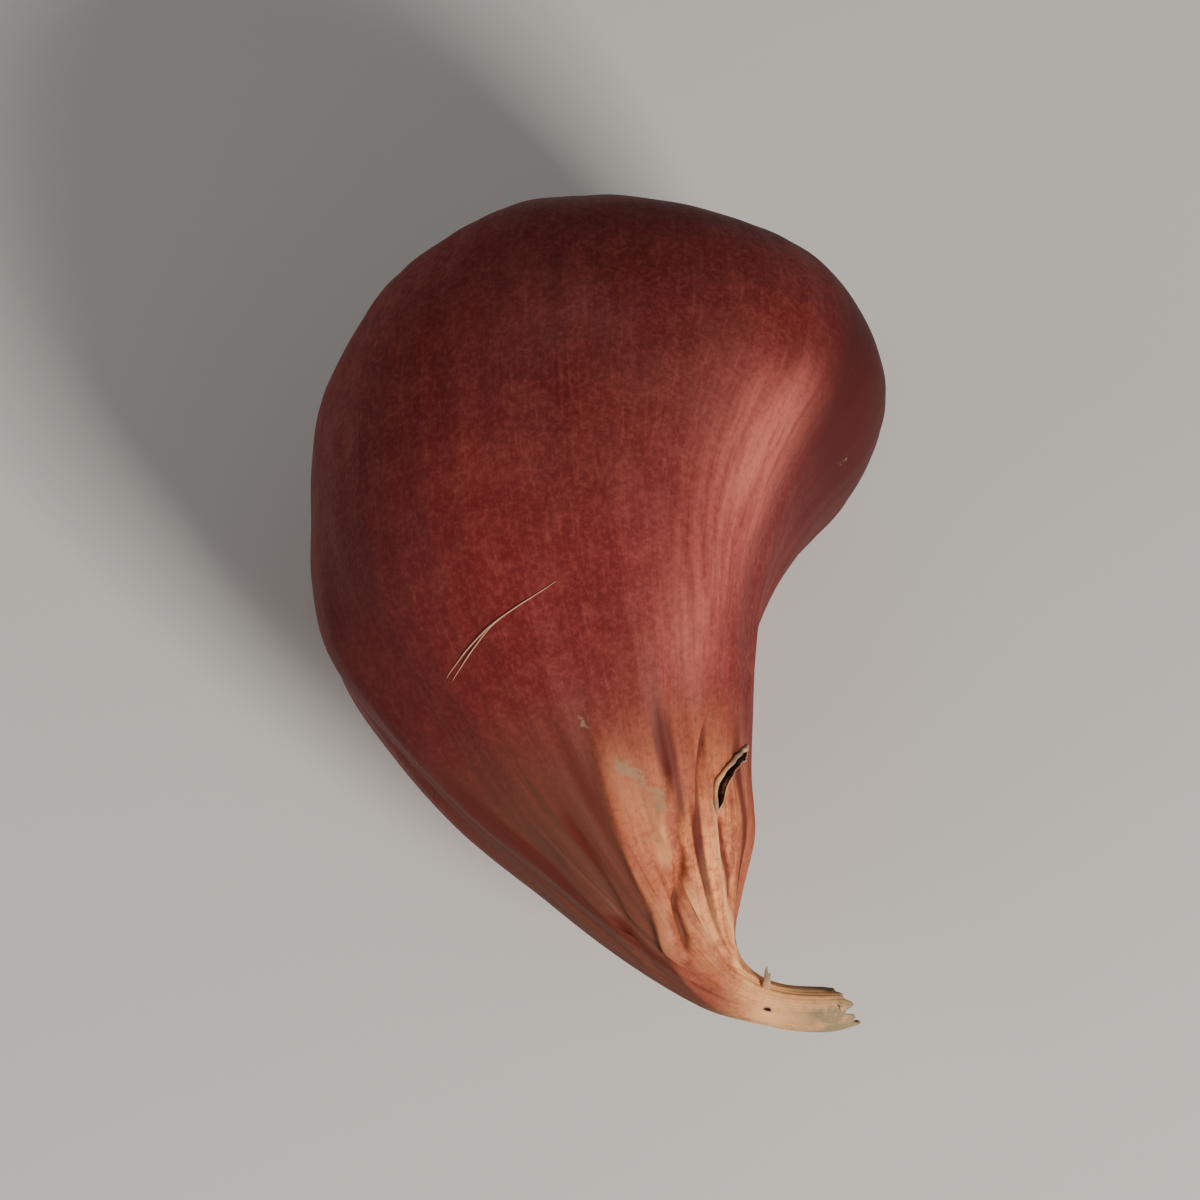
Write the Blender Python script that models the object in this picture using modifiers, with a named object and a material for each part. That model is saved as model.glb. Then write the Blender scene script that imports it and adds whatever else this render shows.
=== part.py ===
"""A dry tulip bulb lying on its side, as two solids.

bulb        the bulb in its papery tunic, with its pleated neck and torn tip
root_plate  the basal plate with its crown of dried roots, seated in the bulb's base

Run it with blender --background --python part.py, or from Blender's text editor.
Lengths are in metres. +Z is up, the neck points along -Y, and the bulb rests on z = 0.
"""

import math
import random
from collections import namedtuple

import bmesh
import bpy
import numpy as np
from mathutils import Matrix, Vector

# Driving dimensions
BULB_WIDTH = 0.038
BULB_THICKNESS = 0.0345
AXIS_LENGTH = 0.0602  # along the curved axis, from the base's lip to the torn tip
SEAT_RADIUS = 0.0058  # the round hollow in the base that holds the root plate
SEAT_DEPTH = 0.0040
TOUCHING_GAP = 0.0003  # between the root plate and its seat

# How the bulb lies
BELLY_ALONG = 0.29  # the widest part, as a share of the axis
BELLY_HEIGHT = 0.0168  # the axis over the surface there, which presses the flat spot

# Mesh fineness
SEGMENTS = 60
RINGS = 66
AXIS_STEPS = 521  # the curved axis is added up in this many steps

# The bulb's relief
CORNER = 0.16  # how far the flat right-hand side squares its two edges
PLEATS = ((9, 0.62, 0.4), (14, 0.38, 2.1))  # folds round the neck, share, phase
PLEAT_TWIST = 1.1  # radians that the folds turn from base to tip
SWELLS = ((2, 1.5, 0.012, 0.9), (3, 2.5, 0.010, 2.6), (5, 3.5, 0.006, 4.4))
RAGS = ((4, 0.55, 1.0), (9, 0.45, 2.7))  # teeth round a torn edge, share, phase
TIP_SLANT = 0.012  # the torn tip is cut aslant by this share of the axis
TIP_START = 0.93

# The little split beside the neck
SPLIT_ENDS = ((0.670, 16.0), (0.738, 50.0))  # ring, and degrees around from the right
SPLIT_WIDTH = 0.0010
SPLIT_DEPTH = 0.0018

# The roots
PLATE_THICKNESS = 0.0030
ROOT_RINGS = ((20, 0.0040, 24.0), (11, 0.0025, 10.0))  # count, ring radius, lean
ROOT_LENGTH = (0.0020, 0.0050)
ROOT_RADIUS = (0.00036, 0.00055)
ROOT_SUNK = 0.0012
ROOT_POINTS = 5
ROOT_STRAY = 0.22  # how far a root stands from its even place in the ring
ROOT_LEAN_STRAY = 8.0  # degrees
ROOT_CURL_OUT = (60.0, 190.0)  # how sharply the roots bend outwards, per metre
ROOT_CURL_SIDE = 160.0  # and to either side
ROOT_SEED = 7

TUNIC_COLOR = (0.155, 0.032, 0.019, 1.0)
ROOT_COLOR = (0.27, 0.175, 0.10, 1.0)

Station = namedtuple("Station", "along left right up down relief pleat ragged")


def round_station(along, radius, ragged=0.0):
    """A station with a true circle for its section."""
    across = radius / (BULB_WIDTH / 2)
    upright = radius / (BULB_THICKNESS / 2)
    return Station(along, across, across, upright, upright, 0.0, 0.0, ragged)


def profile():
    """The bulb's sections from the middle of the seat to the floor of the torn mouth.

    along is a share of the axis, and the four reaches are shares of the half width and half thickness.
    """
    seat = SEAT_DEPTH / AXIS_LENGTH
    return (
        round_station(seat, 0.0),
        round_station(seat, SEAT_RADIUS * 0.5),
        round_station(seat, SEAT_RADIUS),
        round_station(seat * 0.4, SEAT_RADIUS * 1.04, 0.004),
        round_station(-0.004, SEAT_RADIUS * 1.18, 0.010),
        round_station(0.006, SEAT_RADIUS * 1.42, 0.006),
        Station(0.030, 0.57, 0.69, 0.63, 0.61, 0.4, 0.0, 0.0),
        Station(0.090, 0.79, 0.92, 0.84, 0.83, 1.0, 0.0, 0.0),
        Station(0.180, 0.94, 1.02, 0.96, 0.95, 1.0, 0.0, 0.0),
        Station(0.255, 0.98, 0.95, 1.00, 0.99, 1.0, 0.0, 0.0),
        Station(0.315, 0.99, 0.79, 1.00, 1.00, 1.0, 0.0, 0.0),
        Station(0.380, 0.99, 0.65, 0.96, 0.98, 1.0, 0.01, 0.0),
        Station(0.460, 0.95, 0.53, 0.88, 0.89, 1.0, 0.02, 0.0),
        Station(0.550, 0.80, 0.455, 0.73, 0.71, 0.8, 0.03, 0.0),
        Station(0.640, 0.61, 0.39, 0.55, 0.52, 0.6, 0.05, 0.0),
        Station(0.720, 0.39, 0.34, 0.38, 0.37, 0.4, 0.08, 0.0),
        Station(0.790, 0.23, 0.23, 0.27, 0.26, 0.2, 0.10, 0.0),
        Station(0.850, 0.13, 0.12, 0.18, 0.17, 0.0, 0.11, 0.0),
        Station(0.910, 0.080, 0.065, 0.11, 0.11, 0.0, 0.08, 0.0),
        Station(0.985, 0.072, 0.064, 0.11, 0.11, 0.0, 0.07, 0.006),
        Station(1.000, 0.062, 0.054, 0.10, 0.10, 0.0, 0.06, 0.007),
        Station(0.985, 0.038, 0.034, 0.06, 0.06, 0.0, 0.04, 0.006),
        Station(0.965, 0.00, 0.00, 0.00, 0.00, 0.0, 0.0, 0.0),
    )


# The axis's heading at shares of its length: degrees towards +X, and degrees of dip
HEADINGS = (
    (-0.02, 0.0, -14.0),
    (0.15, 1.0, -8.0),
    (0.29, 3.0, -2.0),
    (0.50, 8.0, 3.0),
    (0.66, 13.0, 8.0),
    (0.76, 22.0, 10.0),
    (0.84, 39.0, 9.0),
    (0.90, 69.0, 7.0),
    (1.02, 102.0, 2.0),
)


def smooth(keys, values, at):
    """Reads a table at the places asked for, on smooth curves through its rows."""
    keys = np.asarray(keys, float)
    values = np.asarray(values, float)
    slopes = np.empty_like(values)
    slopes[1:-1] = (values[2:] - values[:-2]) / (keys[2:] - keys[:-2])[:, None]
    slopes[0] = (values[1] - values[0]) / (keys[1] - keys[0])
    slopes[-1] = (values[-1] - values[-2]) / (keys[-1] - keys[-2])
    row = np.clip(np.searchsorted(keys, at, side="right") - 1, 0, len(keys) - 2)
    span = (keys[row + 1] - keys[row])[:, None]
    t = np.clip((at - keys[row])[:, None] / span, 0.0, 1.0)
    start = (1 + 2 * t) * (1 - t) ** 2 * values[row]
    end = t * t * (3 - 2 * t) * values[row + 1]
    leave = t * (1 - t) ** 2 * span * slopes[row]
    arrive = t * t * (t - 1) * span * slopes[row + 1]
    return start + end + leave + arrive


def axis_frames(along):
    """The axis's points and its three directions there: sideways, up and onward."""
    table = np.array(HEADINGS)
    steps = np.linspace(table[0, 0], table[-1, 0], AXIS_STEPS)
    headings = np.radians(smooth(table[:, 0], table[:, 1:], steps))
    yaw = headings[:, 0]
    dip = headings[:, 1]
    onward = np.stack([np.sin(yaw) * np.cos(dip), -np.cos(yaw) * np.cos(dip), -np.sin(dip)], axis=1)
    side = np.stack([np.cos(yaw), np.sin(yaw), np.zeros_like(yaw)], axis=1)
    middle = (onward[1:] + onward[:-1]) / 2 * np.diff(steps)[:, None] * AXIS_LENGTH
    points = np.concatenate([np.zeros((1, 3)), np.cumsum(middle, axis=0)])

    def read(samples):
        return np.stack([np.interp(along, steps, samples[:, i]) for i in range(3)], axis=-1)

    belly = [np.interp(BELLY_ALONG, steps, points[:, i]) for i in range(3)]
    place = read(points) - belly + np.array([0.0, 0.0, BELLY_HEIGHT])
    return place, read(side), read(np.cross(onward, side)), read(onward)


def bulb_points(ring, around):
    """Points of the tunic. ring runs from 0 in the seat to 1 in the mouth, around in radians from the right."""
    table = np.array(profile())
    reach = table[:, 1:5].mean(axis=1) * BULB_WIDTH / 2
    steps = np.hypot(np.diff(table[:, 0] * AXIS_LENGTH), np.diff(reach))
    keys = np.concatenate([[0.0], np.cumsum(steps)])
    along, left, right, up, down, relief, pleat, ragged = smooth(keys, table, ring * keys[-1]).T

    folds = sum(share * np.cos(n * around + phase + n * PLEAT_TWIST * along) for n, share, phase in PLEATS)
    swell = sum(
        size * np.sin(n * around + phase) * np.cos(waves * math.pi * along)
        for n, waves, size, phase in SWELLS
    )
    rags = sum(share * np.sin(n * around + phase) for n, share, phase in RAGS)
    grow = 1 + pleat * folds + relief * swell

    c = np.cos(around)
    s = np.sin(around)
    squared = 1 + CORNER * relief * (1 - c * c)
    sideways = np.where(c > 0, right * squared, left) * c * grow * BULB_WIDTH / 2
    upward = np.where(s > 0, up, down) * s * grow * BULB_THICKNESS / 2
    slant = -TIP_SLANT * np.cos(around) * np.clip((along - TIP_START) / (1 - TIP_START), 0.0, 1.0)
    place, side, rise, _ = axis_frames(along + ragged * rags + slant)
    points = place + side * sideways[:, None] + rise * upward[:, None]
    points[:, 2] = np.maximum(points[:, 2], 0.0)
    return points


def clear_scene():
    for obj in list(bpy.data.objects):
        bpy.data.objects.remove(obj)


def material(name, color, roughness):
    made = bpy.data.materials.new(name)
    made.use_nodes = True
    shader = made.node_tree.nodes["Principled BSDF"]
    shader.inputs["Base Color"].default_value = color
    shader.inputs["Roughness"].default_value = roughness
    shader.inputs["Metallic"].default_value = 0.0
    return made


def new_collection(name):
    made = bpy.data.collections.new(name)
    bpy.context.scene.collection.children.link(made)
    return made


def bulb_object(parts):
    """A UV sphere whose points are moved onto the tunic, one pole in the seat and one in the torn mouth."""
    bm = bmesh.new()
    bmesh.ops.create_uvsphere(bm, u_segments=SEGMENTS, v_segments=RINGS, radius=1.0)
    sphere = np.array([vertex.co for vertex in bm.verts])
    ring = np.arccos(np.clip(sphere[:, 2], -1.0, 1.0)) / math.pi
    around = np.arctan2(sphere[:, 1], sphere[:, 0])
    for vertex, point in zip(bm.verts, bulb_points(ring, around)):
        vertex.co = point
    bmesh.ops.recalc_face_normals(bm, faces=bm.faces)
    mesh = bpy.data.meshes.new("bulb")
    bm.to_mesh(mesh)
    bm.free()
    mesh.shade_smooth()
    made = bpy.data.objects.new("bulb", mesh)
    parts.objects.link(made)
    return made


def split_cutter(cutters):
    """A thin ellipsoid half sunk in the neck, which cuts the little split there."""
    ring, degrees = np.array(SPLIT_ENDS).T
    around = np.radians(degrees)
    first, last = (Vector(point) for point in bulb_points(ring, around))
    nudge = 0.02
    ring = np.array([ring.mean(), ring.mean(), ring.mean() + nudge])
    around = np.array([around.mean(), around.mean() + nudge, around.mean()])
    middle, beside, beyond = (Vector(point) for point in bulb_points(ring, around))
    onward = (last - first).normalized()
    outward = (beside - middle).cross(beyond - middle)
    across = onward.cross(outward).normalized()
    bm = bmesh.new()
    bmesh.ops.create_uvsphere(bm, u_segments=12, v_segments=8, radius=0.5)
    bmesh.ops.scale(bm, vec=(SPLIT_WIDTH, (last - first).length, SPLIT_DEPTH), verts=bm.verts)
    mesh = bpy.data.meshes.new("split_cutter")
    bm.to_mesh(mesh)
    bm.free()
    made = bpy.data.objects.new("split_cutter", mesh)
    made.rotation_euler = Matrix((across, onward, across.cross(onward))).transposed().to_euler()
    made.location = middle
    made.hide_render = True
    made.display_type = "WIRE"
    cutters.objects.link(made)
    return made


def plate_disc(parts):
    """The basal plate as a turned shape: a low disc, dished in the middle, with a rounded rim."""
    radius = SEAT_RADIUS - TOUCHING_GAP - 0.0001
    outline = (
        (0.0, PLATE_THICKNESS * 0.60),
        (radius * 0.35, PLATE_THICKNESS * 0.68),
        (radius * 0.62, PLATE_THICKNESS * 0.95),
        (radius * 0.80, PLATE_THICKNESS),
        (radius * 0.94, PLATE_THICKNESS * 0.90),
        (radius, PLATE_THICKNESS * 0.65),
        (radius, PLATE_THICKNESS * 0.25),
        (radius * 0.93, 0.0),
        (0.0, 0.0),
    )
    mesh = bpy.data.meshes.new("root_plate")
    edges = [(i, i + 1) for i in range(len(outline) - 1)]
    mesh.from_pydata([(x, 0.0, z) for x, z in outline], edges, [])
    made = bpy.data.objects.new("root_plate", mesh)
    parts.objects.link(made)
    turned = made.modifiers.new("turned", "SCREW")
    turned.steps = 36
    turned.render_steps = 36
    turned.use_merge_vertices = True
    turned.merge_threshold = 0.00001
    return made


def root_curve(name, start, direction, curl, length, radius):
    """One dried root: a thin tube that bends by curl as it grows, and tapers to its broken end."""
    data = bpy.data.curves.new(name, "CURVE")
    data.dimensions = "3D"
    data.bevel_depth = radius
    data.bevel_resolution = 1
    data.use_fill_caps = True
    spline = data.splines.new("POLY")
    spline.points.add(ROOT_POINTS - 1)
    point = start - direction * ROOT_SUNK
    step = (length + ROOT_SUNK) / (ROOT_POINTS - 1)
    heading = direction.copy()
    for i, knot in enumerate(spline.points):
        knot.co = (*point, 1.0)
        knot.radius = 1.0 - 0.5 * i / (ROOT_POINTS - 1)
        point = point + heading * step
        if i > 0:
            heading = (heading + curl * step).normalized()
    return bpy.data.objects.new(name, data)


def as_mesh(obj, collection):
    """The evaluated object as a mesh object with its loose caps welded, in the place of the first."""
    collection.objects.link(obj)
    bpy.context.view_layer.update()
    evaluated = obj.evaluated_get(bpy.context.evaluated_depsgraph_get())
    mesh = bpy.data.meshes.new_from_object(evaluated)
    bm = bmesh.new()
    bm.from_mesh(mesh)
    bmesh.ops.remove_doubles(bm, verts=bm.verts, dist=0.00001)
    bmesh.ops.recalc_face_normals(bm, faces=bm.faces)
    bm.to_mesh(mesh)
    bm.free()
    made = bpy.data.objects.new(obj.name + "_mesh", mesh)
    made.matrix_world = obj.matrix_world
    collection.objects.link(made)
    bpy.data.objects.remove(obj)
    return made


def root_objects(roots):
    """The crown of roots: rings of short dried roots that lean outwards and curl at their ends."""
    rng = random.Random(ROOT_SEED)
    for ring_index, (count, ring_radius, lean) in enumerate(ROOT_RINGS):
        for i in range(count):
            angle = 2 * math.pi * (i + 0.5 * ring_index + rng.uniform(-ROOT_STRAY, ROOT_STRAY)) / count
            outward = Vector((math.cos(angle), math.sin(angle), 0.0))
            tilt = math.radians(lean + rng.uniform(-ROOT_LEAN_STRAY, ROOT_LEAN_STRAY))
            direction = outward * math.sin(tilt) + Vector((0.0, 0.0, math.cos(tilt)))
            sideways = Vector((-outward.y, outward.x, 0.0))
            curl = outward * rng.uniform(*ROOT_CURL_OUT)
            curl += sideways * rng.uniform(-ROOT_CURL_SIDE, ROOT_CURL_SIDE)
            start = outward * ring_radius + Vector((0.0, 0.0, PLATE_THICKNESS * 0.9))
            length = rng.uniform(*ROOT_LENGTH)
            radius = rng.uniform(*ROOT_RADIUS)
            root = root_curve(f"root_{ring_index}_{i}", start, direction, curl, length, radius)
            as_mesh(root, roots)


def fuse(base, pieces):
    """Joins a collection's meshes to the base with one Boolean union, applies it and removes them."""
    join = base.modifiers.new("fuse", "BOOLEAN")
    join.operation = "UNION"
    join.operand_type = "COLLECTION"
    join.collection = pieces
    join.solver = "MANIFOLD"
    bpy.context.view_layer.update()
    evaluated = base.evaluated_get(bpy.context.evaluated_depsgraph_get())
    joined = bpy.data.meshes.new_from_object(evaluated)
    base.modifiers.clear()
    base.data = joined
    for obj in list(pieces.objects):
        bpy.data.objects.remove(obj)
    bpy.data.collections.remove(pieces)


def root_plate_object(parts):
    made = plate_disc(parts)
    roots = new_collection("roots")
    root_objects(roots)
    fuse(made, roots)
    made.data.shade_smooth()
    made.data.set_sharp_from_angle(angle=math.radians(50))
    floor = np.array([(SEAT_DEPTH - TOUCHING_GAP) / AXIS_LENGTH])
    place, _, rise, onward = axis_frames(floor)
    made.location = Vector(place[0])
    made.rotation_euler = Vector(-onward[0]).to_track_quat("Z", "Y").to_euler()
    return made


def centre_on_surface(objects):
    """Parents the solids to an empty that puts the middle of their box over the origin."""
    bpy.context.view_layer.update()
    corners = np.array([obj.matrix_world @ vertex.co for obj in objects for vertex in obj.data.vertices])
    middle = (corners.min(axis=0) + corners.max(axis=0)) / 2
    holder = bpy.data.objects.new("tulip_bulb", None)
    bpy.context.scene.collection.objects.link(holder)
    for obj in objects:
        obj.parent = holder
    holder.location = (-middle[0], -middle[1], 0.0)


def main():
    clear_scene()
    parts = new_collection("tulip_bulb_parts")
    cutters = new_collection("cutters")

    bulb = bulb_object(parts)
    bulb.data.materials.append(material("tunic", TUNIC_COLOR, 0.55))
    cut = bulb.modifiers.new("split", "BOOLEAN")
    cut.operation = "DIFFERENCE"
    cutter = split_cutter(cutters)
    cut.object = cutter

    plate = root_plate_object(parts)
    plate.data.materials.clear()
    plate.data.materials.append(material("dried_root", ROOT_COLOR, 0.85))

    centre_on_surface([bulb, plate])
    cutter.parent = bulb.parent


main()
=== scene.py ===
"""The looks of a dry tulip bulb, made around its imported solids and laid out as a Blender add-on.

The bulb lies on its side. Its neck points along -Y and hooks to +X, and its root plate faces +Y.
Lengths are in metres. A place on the tunic is given by two numbers: ring, which runs from 0 in the
middle of the root seat to 1 in the torn mouth, and around, the angle about the bulb's axis, which is
0 on the right, a quarter turn on top and half a turn on the left.
"""

import math
import random
from collections import namedtuple

import bpy
import numpy as np
from bpy.props import FloatProperty, FloatVectorProperty, IntProperty, PointerProperty
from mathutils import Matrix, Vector


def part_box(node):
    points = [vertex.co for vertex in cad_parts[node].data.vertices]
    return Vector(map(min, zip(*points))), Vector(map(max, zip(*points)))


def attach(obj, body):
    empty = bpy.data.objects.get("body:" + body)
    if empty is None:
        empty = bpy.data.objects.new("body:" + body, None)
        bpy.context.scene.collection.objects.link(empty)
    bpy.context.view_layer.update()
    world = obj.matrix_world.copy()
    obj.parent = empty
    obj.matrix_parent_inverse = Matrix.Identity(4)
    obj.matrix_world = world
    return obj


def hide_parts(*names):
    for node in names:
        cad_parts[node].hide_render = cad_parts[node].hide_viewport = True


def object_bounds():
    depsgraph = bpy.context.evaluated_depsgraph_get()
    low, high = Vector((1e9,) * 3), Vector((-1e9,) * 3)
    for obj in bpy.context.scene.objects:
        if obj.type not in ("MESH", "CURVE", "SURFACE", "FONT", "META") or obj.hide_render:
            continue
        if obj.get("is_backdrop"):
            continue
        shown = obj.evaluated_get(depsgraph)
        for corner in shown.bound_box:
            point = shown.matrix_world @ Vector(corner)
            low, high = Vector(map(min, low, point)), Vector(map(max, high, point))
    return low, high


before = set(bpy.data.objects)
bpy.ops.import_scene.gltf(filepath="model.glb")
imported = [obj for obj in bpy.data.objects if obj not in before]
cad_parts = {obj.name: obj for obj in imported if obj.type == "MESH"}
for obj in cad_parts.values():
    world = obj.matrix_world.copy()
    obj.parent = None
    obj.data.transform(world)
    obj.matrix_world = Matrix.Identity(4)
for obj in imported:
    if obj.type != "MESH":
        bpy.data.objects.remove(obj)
CAD_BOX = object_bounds()

bl_info = {
    "name": "Tulip bulb",
    "version": (1, 0, 0),
    "blender": (4, 5, 0),
    "location": "View3D > Sidebar > Tulip bulb",
    "description": "Builds the papery tunic, the root plate and the studio of a dry tulip bulb",
    "category": "Object",
}

# The bulb's form, as its solid has it
BULB_WIDTH = 0.038
BULB_THICKNESS = 0.0345
AXIS_LENGTH = 0.0602
SEAT_RADIUS = 0.0058
SEAT_DEPTH = 0.0040
TOUCHING_GAP = 0.0003
BELLY_ALONG = 0.29
BELLY_HEIGHT = 0.0168
AXIS_STEPS = 521
CORNER = 0.16
PLEATS = ((9, 0.62, 0.4), (14, 0.38, 2.1))
PLEAT_TWIST = 1.1
SWELLS = ((2, 1.5, 0.012, 0.9), (3, 2.5, 0.010, 2.6), (5, 3.5, 0.006, 4.4))
RAGS = ((4, 0.55, 1.0), (9, 0.45, 2.7))
TIP_SLANT = 0.012
TIP_START = 0.93
SOLID_SEGMENTS = 60
SOLID_RINGS = 66

# The root crown, as its solid has it
PLATE_THICKNESS = 0.0030
ROOT_RINGS = ((20, 0.0040, 24.0), (11, 0.0025, 10.0))
ROOT_LENGTH = (0.0020, 0.0050)
ROOT_RADIUS = (0.00036, 0.00055)
ROOT_SUNK = 0.0012
ROOT_POINTS = 5
ROOT_STRAY = 0.22
ROOT_LEAN_STRAY = 8.0
ROOT_CURL_OUT = (60.0, 190.0)
ROOT_CURL_SIDE = 160.0
ROOT_SEED = 7

# Fineness of the tunic's grid, with the shares of its rows spent up to each ring
TUNIC_COLUMNS = 296
TUNIC_ROWS = 326
ROW_SHARES = (0.0, 0.06, 0.17, 0.46, 1.0)
ROW_RINGS = (0.0, 0.10, 0.20, 0.60, 1.0)

TUNIC_LENGTH = 0.088  # from the middle of the seat over the skin to the mouth

# Weathered spots on the skin: ring, degrees around, radius
FLECKS = (
    (0.716, 84, 0.0007),
    (0.729, 87, 0.0006),
    (0.700, 91, 0.0008),
    (0.780, 78, 0.0004),
    (0.868, 70, 0.0005),
    (0.690, 98, 0.0007),
    (0.745, 97, 0.0006),
    (0.655, 104, 0.0006),
    (0.408, 10, 0.0005),
)

# Broad places painted deeper red as painted shade: ring, degrees around, radius
BROAD_PAINTED_SHADE = (
    (0.35, 14, 0.0060),
    (0.29, 5, 0.0085),
    (0.56, 158, 0.0080),
    (0.40, -20, 0.0090),
    (0.36, 29, 0.0046),
)
HOLE_SHADE_SPOTS = ((0.913, 136, 0.00012),)  # painted shade for a small hole: a dark speck on the tip

Station = namedtuple("Station", "along left right up down relief pleat ragged")
Fold = namedtuple("Fold", "height left_width right_width path")
Ripple = namedtuple("Ripple", "turns waves count seed")
Grain = namedtuple("Grain", "scale detail roughness")


def round_station(along, radius, ragged=0.0):
    """A station with a true circle for its section."""
    across = radius / (BULB_WIDTH / 2)
    upright = radius / (BULB_THICKNESS / 2)
    return Station(along, across, across, upright, upright, 0.0, 0.0, ragged)


def profile():
    """The bulb's sections from the middle of the seat to the floor of the torn mouth.

    along is a share of the axis, and the four reaches are shares of the half width and half thickness.
    """
    seat = SEAT_DEPTH / AXIS_LENGTH
    return (
        round_station(seat, 0.0),
        round_station(seat, SEAT_RADIUS * 0.5),
        round_station(seat, SEAT_RADIUS),
        round_station(seat * 0.4, SEAT_RADIUS * 1.04, 0.004),
        round_station(-0.004, SEAT_RADIUS * 1.18, 0.010),
        round_station(0.006, SEAT_RADIUS * 1.42, 0.006),
        Station(0.030, 0.57, 0.69, 0.63, 0.61, 0.4, 0.0, 0.0),
        Station(0.090, 0.79, 0.92, 0.84, 0.83, 1.0, 0.0, 0.0),
        Station(0.180, 0.94, 1.02, 0.96, 0.95, 1.0, 0.0, 0.0),
        Station(0.255, 0.98, 0.95, 1.00, 0.99, 1.0, 0.0, 0.0),
        Station(0.315, 0.99, 0.79, 1.00, 1.00, 1.0, 0.0, 0.0),
        Station(0.380, 0.99, 0.65, 0.96, 0.98, 1.0, 0.01, 0.0),
        Station(0.460, 0.95, 0.53, 0.88, 0.89, 1.0, 0.02, 0.0),
        Station(0.550, 0.80, 0.455, 0.73, 0.71, 0.8, 0.03, 0.0),
        Station(0.640, 0.61, 0.39, 0.55, 0.52, 0.6, 0.05, 0.0),
        Station(0.720, 0.39, 0.34, 0.38, 0.37, 0.4, 0.08, 0.0),
        Station(0.790, 0.23, 0.23, 0.27, 0.26, 0.2, 0.10, 0.0),
        Station(0.850, 0.13, 0.12, 0.18, 0.17, 0.0, 0.11, 0.0),
        Station(0.910, 0.080, 0.065, 0.11, 0.11, 0.0, 0.08, 0.0),
        Station(0.985, 0.072, 0.064, 0.11, 0.11, 0.0, 0.07, 0.006),
        Station(1.000, 0.062, 0.054, 0.10, 0.10, 0.0, 0.06, 0.007),
        Station(0.985, 0.038, 0.034, 0.06, 0.06, 0.0, 0.04, 0.006),
        Station(0.965, 0.00, 0.00, 0.00, 0.00, 0.0, 0.0, 0.0),
    )


# The axis's heading at shares of its length: degrees towards +X, and degrees of dip
HEADINGS = (
    (-0.02, 0.0, -14.0),
    (0.15, 1.0, -8.0),
    (0.29, 3.0, -2.0),
    (0.50, 8.0, 3.0),
    (0.66, 13.0, 8.0),
    (0.76, 22.0, 10.0),
    (0.84, 39.0, 9.0),
    (0.90, 69.0, 7.0),
    (1.02, 102.0, 2.0),
)

# The folds of the papery neck. Each has a height, negative for a groove, the widths of its two slopes
# towards the left and the right, and its path along the tunic as rings and degrees around.
NECK_FOLDS = (
    Fold(
        0.00050, 0.00035, 0.0011,
        ((0.64, 100), (0.753, 107), (0.771, 109), (0.811, 116), (0.847, 138), (0.876, 166)),
    ),
    Fold(
        0.00018, 0.0006, 0.0006,
        ((0.66, 72), (0.716, 79), (0.769, 96), (0.797, 102), (0.843, 118), (0.874, 139)),
    ),
    Fold(-0.00048, 0.00035, 0.0004, ((0.755, 79), (0.791, 90), (0.810, 100), (0.836, 112), (0.857, 131))),
    Fold(
        0.00034, 0.0005, 0.0006,
        ((0.66, 66), (0.755, 76), (0.807, 79), (0.846, 92), (0.871, 104), (0.89, 122)),
    ),
    Fold(
        -0.00050, 0.0003, 0.0003,
        ((0.645, 53), (0.707, 63), (0.743, 66), (0.770, 69), (0.804, 68), (0.835, 70)),
    ),
    Fold(
        0.00026, 0.0004, 0.0004,
        ((0.70, 55), (0.764, 57), (0.816, 51), (0.856, 48), (0.891, 90), (0.91, 98)),
    ),
    Fold(-0.00046, 0.00028, 0.00028, ((0.728, 52), (0.747, 52), (0.774, 49), (0.80, 41), (0.83, 42))),
    Fold(0.00018, 0.0005, 0.0005, ((0.70, 40), (0.763, 36), (0.807, 35), (0.839, 37), (0.87, 58))),
    Fold(-0.00024, 0.0005, 0.0004, ((0.70, 124), (0.77, 130), (0.81, 145), (0.845, 166))),
    Fold(0.00020, 0.0005, 0.0005, ((0.72, 138), (0.78, 146), (0.82, 162), (0.85, 182))),
    Fold(-0.00022, 0.0004, 0.0005, ((0.69, 16), (0.76, 14), (0.80, 12), (0.84, 8))),
)

# The long ridge of the right side, with a painted highlight along it, and a painted highlight streak on the
# neck that is only a colour and so has no height
RIGHT_RIDGE = Fold(
    0.00050, 0.0044, 0.0032, ((0.35, 45), (0.433, 44), (0.50, 46), (0.56, 54), (0.611, 62), (0.68, 68))
)
CREAM_HIGHLIGHT_STREAK = Fold(
    0.0, 0.0005, 0.0005, ((0.79, 52), (0.82, 48), (0.856, 46), (0.88, 76), (0.905, 96), (0.93, 110))
)

# Ripples of the skin: the fewest and most turns round the bulb, the waves along it, how many, and the seed
WRINKLES = Ripple((24, 46), 2.0, 14, 11)
CREASES = Ripple((50, 70), 5.0, 10, 12)
DENTS = Ripple((3, 9), 5.0, 12, 13)
PUCKERS = Ripple((9, 22), 3.0, 12, 14)
WRINKLE_HEIGHT = 0.00003
NECK_WRINKLE_HEIGHT = 0.00004  # added to it on the neck
CREASE_HEIGHT = 0.00003
DENT_HEIGHT = 0.00010
PUCKER_HEIGHT = 0.00018
SLIM_GIRTH = 0.009  # ripples get lower on sections slimmer than this
SLIM_LEAST = 0.28  # but keep this share of their height

# The lit side of the neck, where its orange tan is painted stronger as painted light, in degrees around, and
# its spread in radians
SUNNY_SIDE = 60
SUNNY_SPREAD = 0.76

# The greyish bloom on the upper side: ring, degrees around, and its two spreads, the second in radians
BLOOM_RING = 0.40
BLOOM_SIDE = 84
BLOOM_RING_SPREAD = 0.09
BLOOM_SIDE_SPREAD = 0.45
FOLD_SCALE = 0.00036  # a fold of this height counts as 1 in the finish
FIBRE_STRETCH = 0.55  # how fast the fibres' pattern changes along the tunic

# Loose flakes on the skin: ring, degrees around, radius
FLAKES = (
    (0.30, 200, 0.00040),
    (0.26, 320, 0.00035),
    (0.23, 300, 0.00050),
    (0.21, 250, 0.00045),
    (0.78, 210, 0.00030),
)

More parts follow.
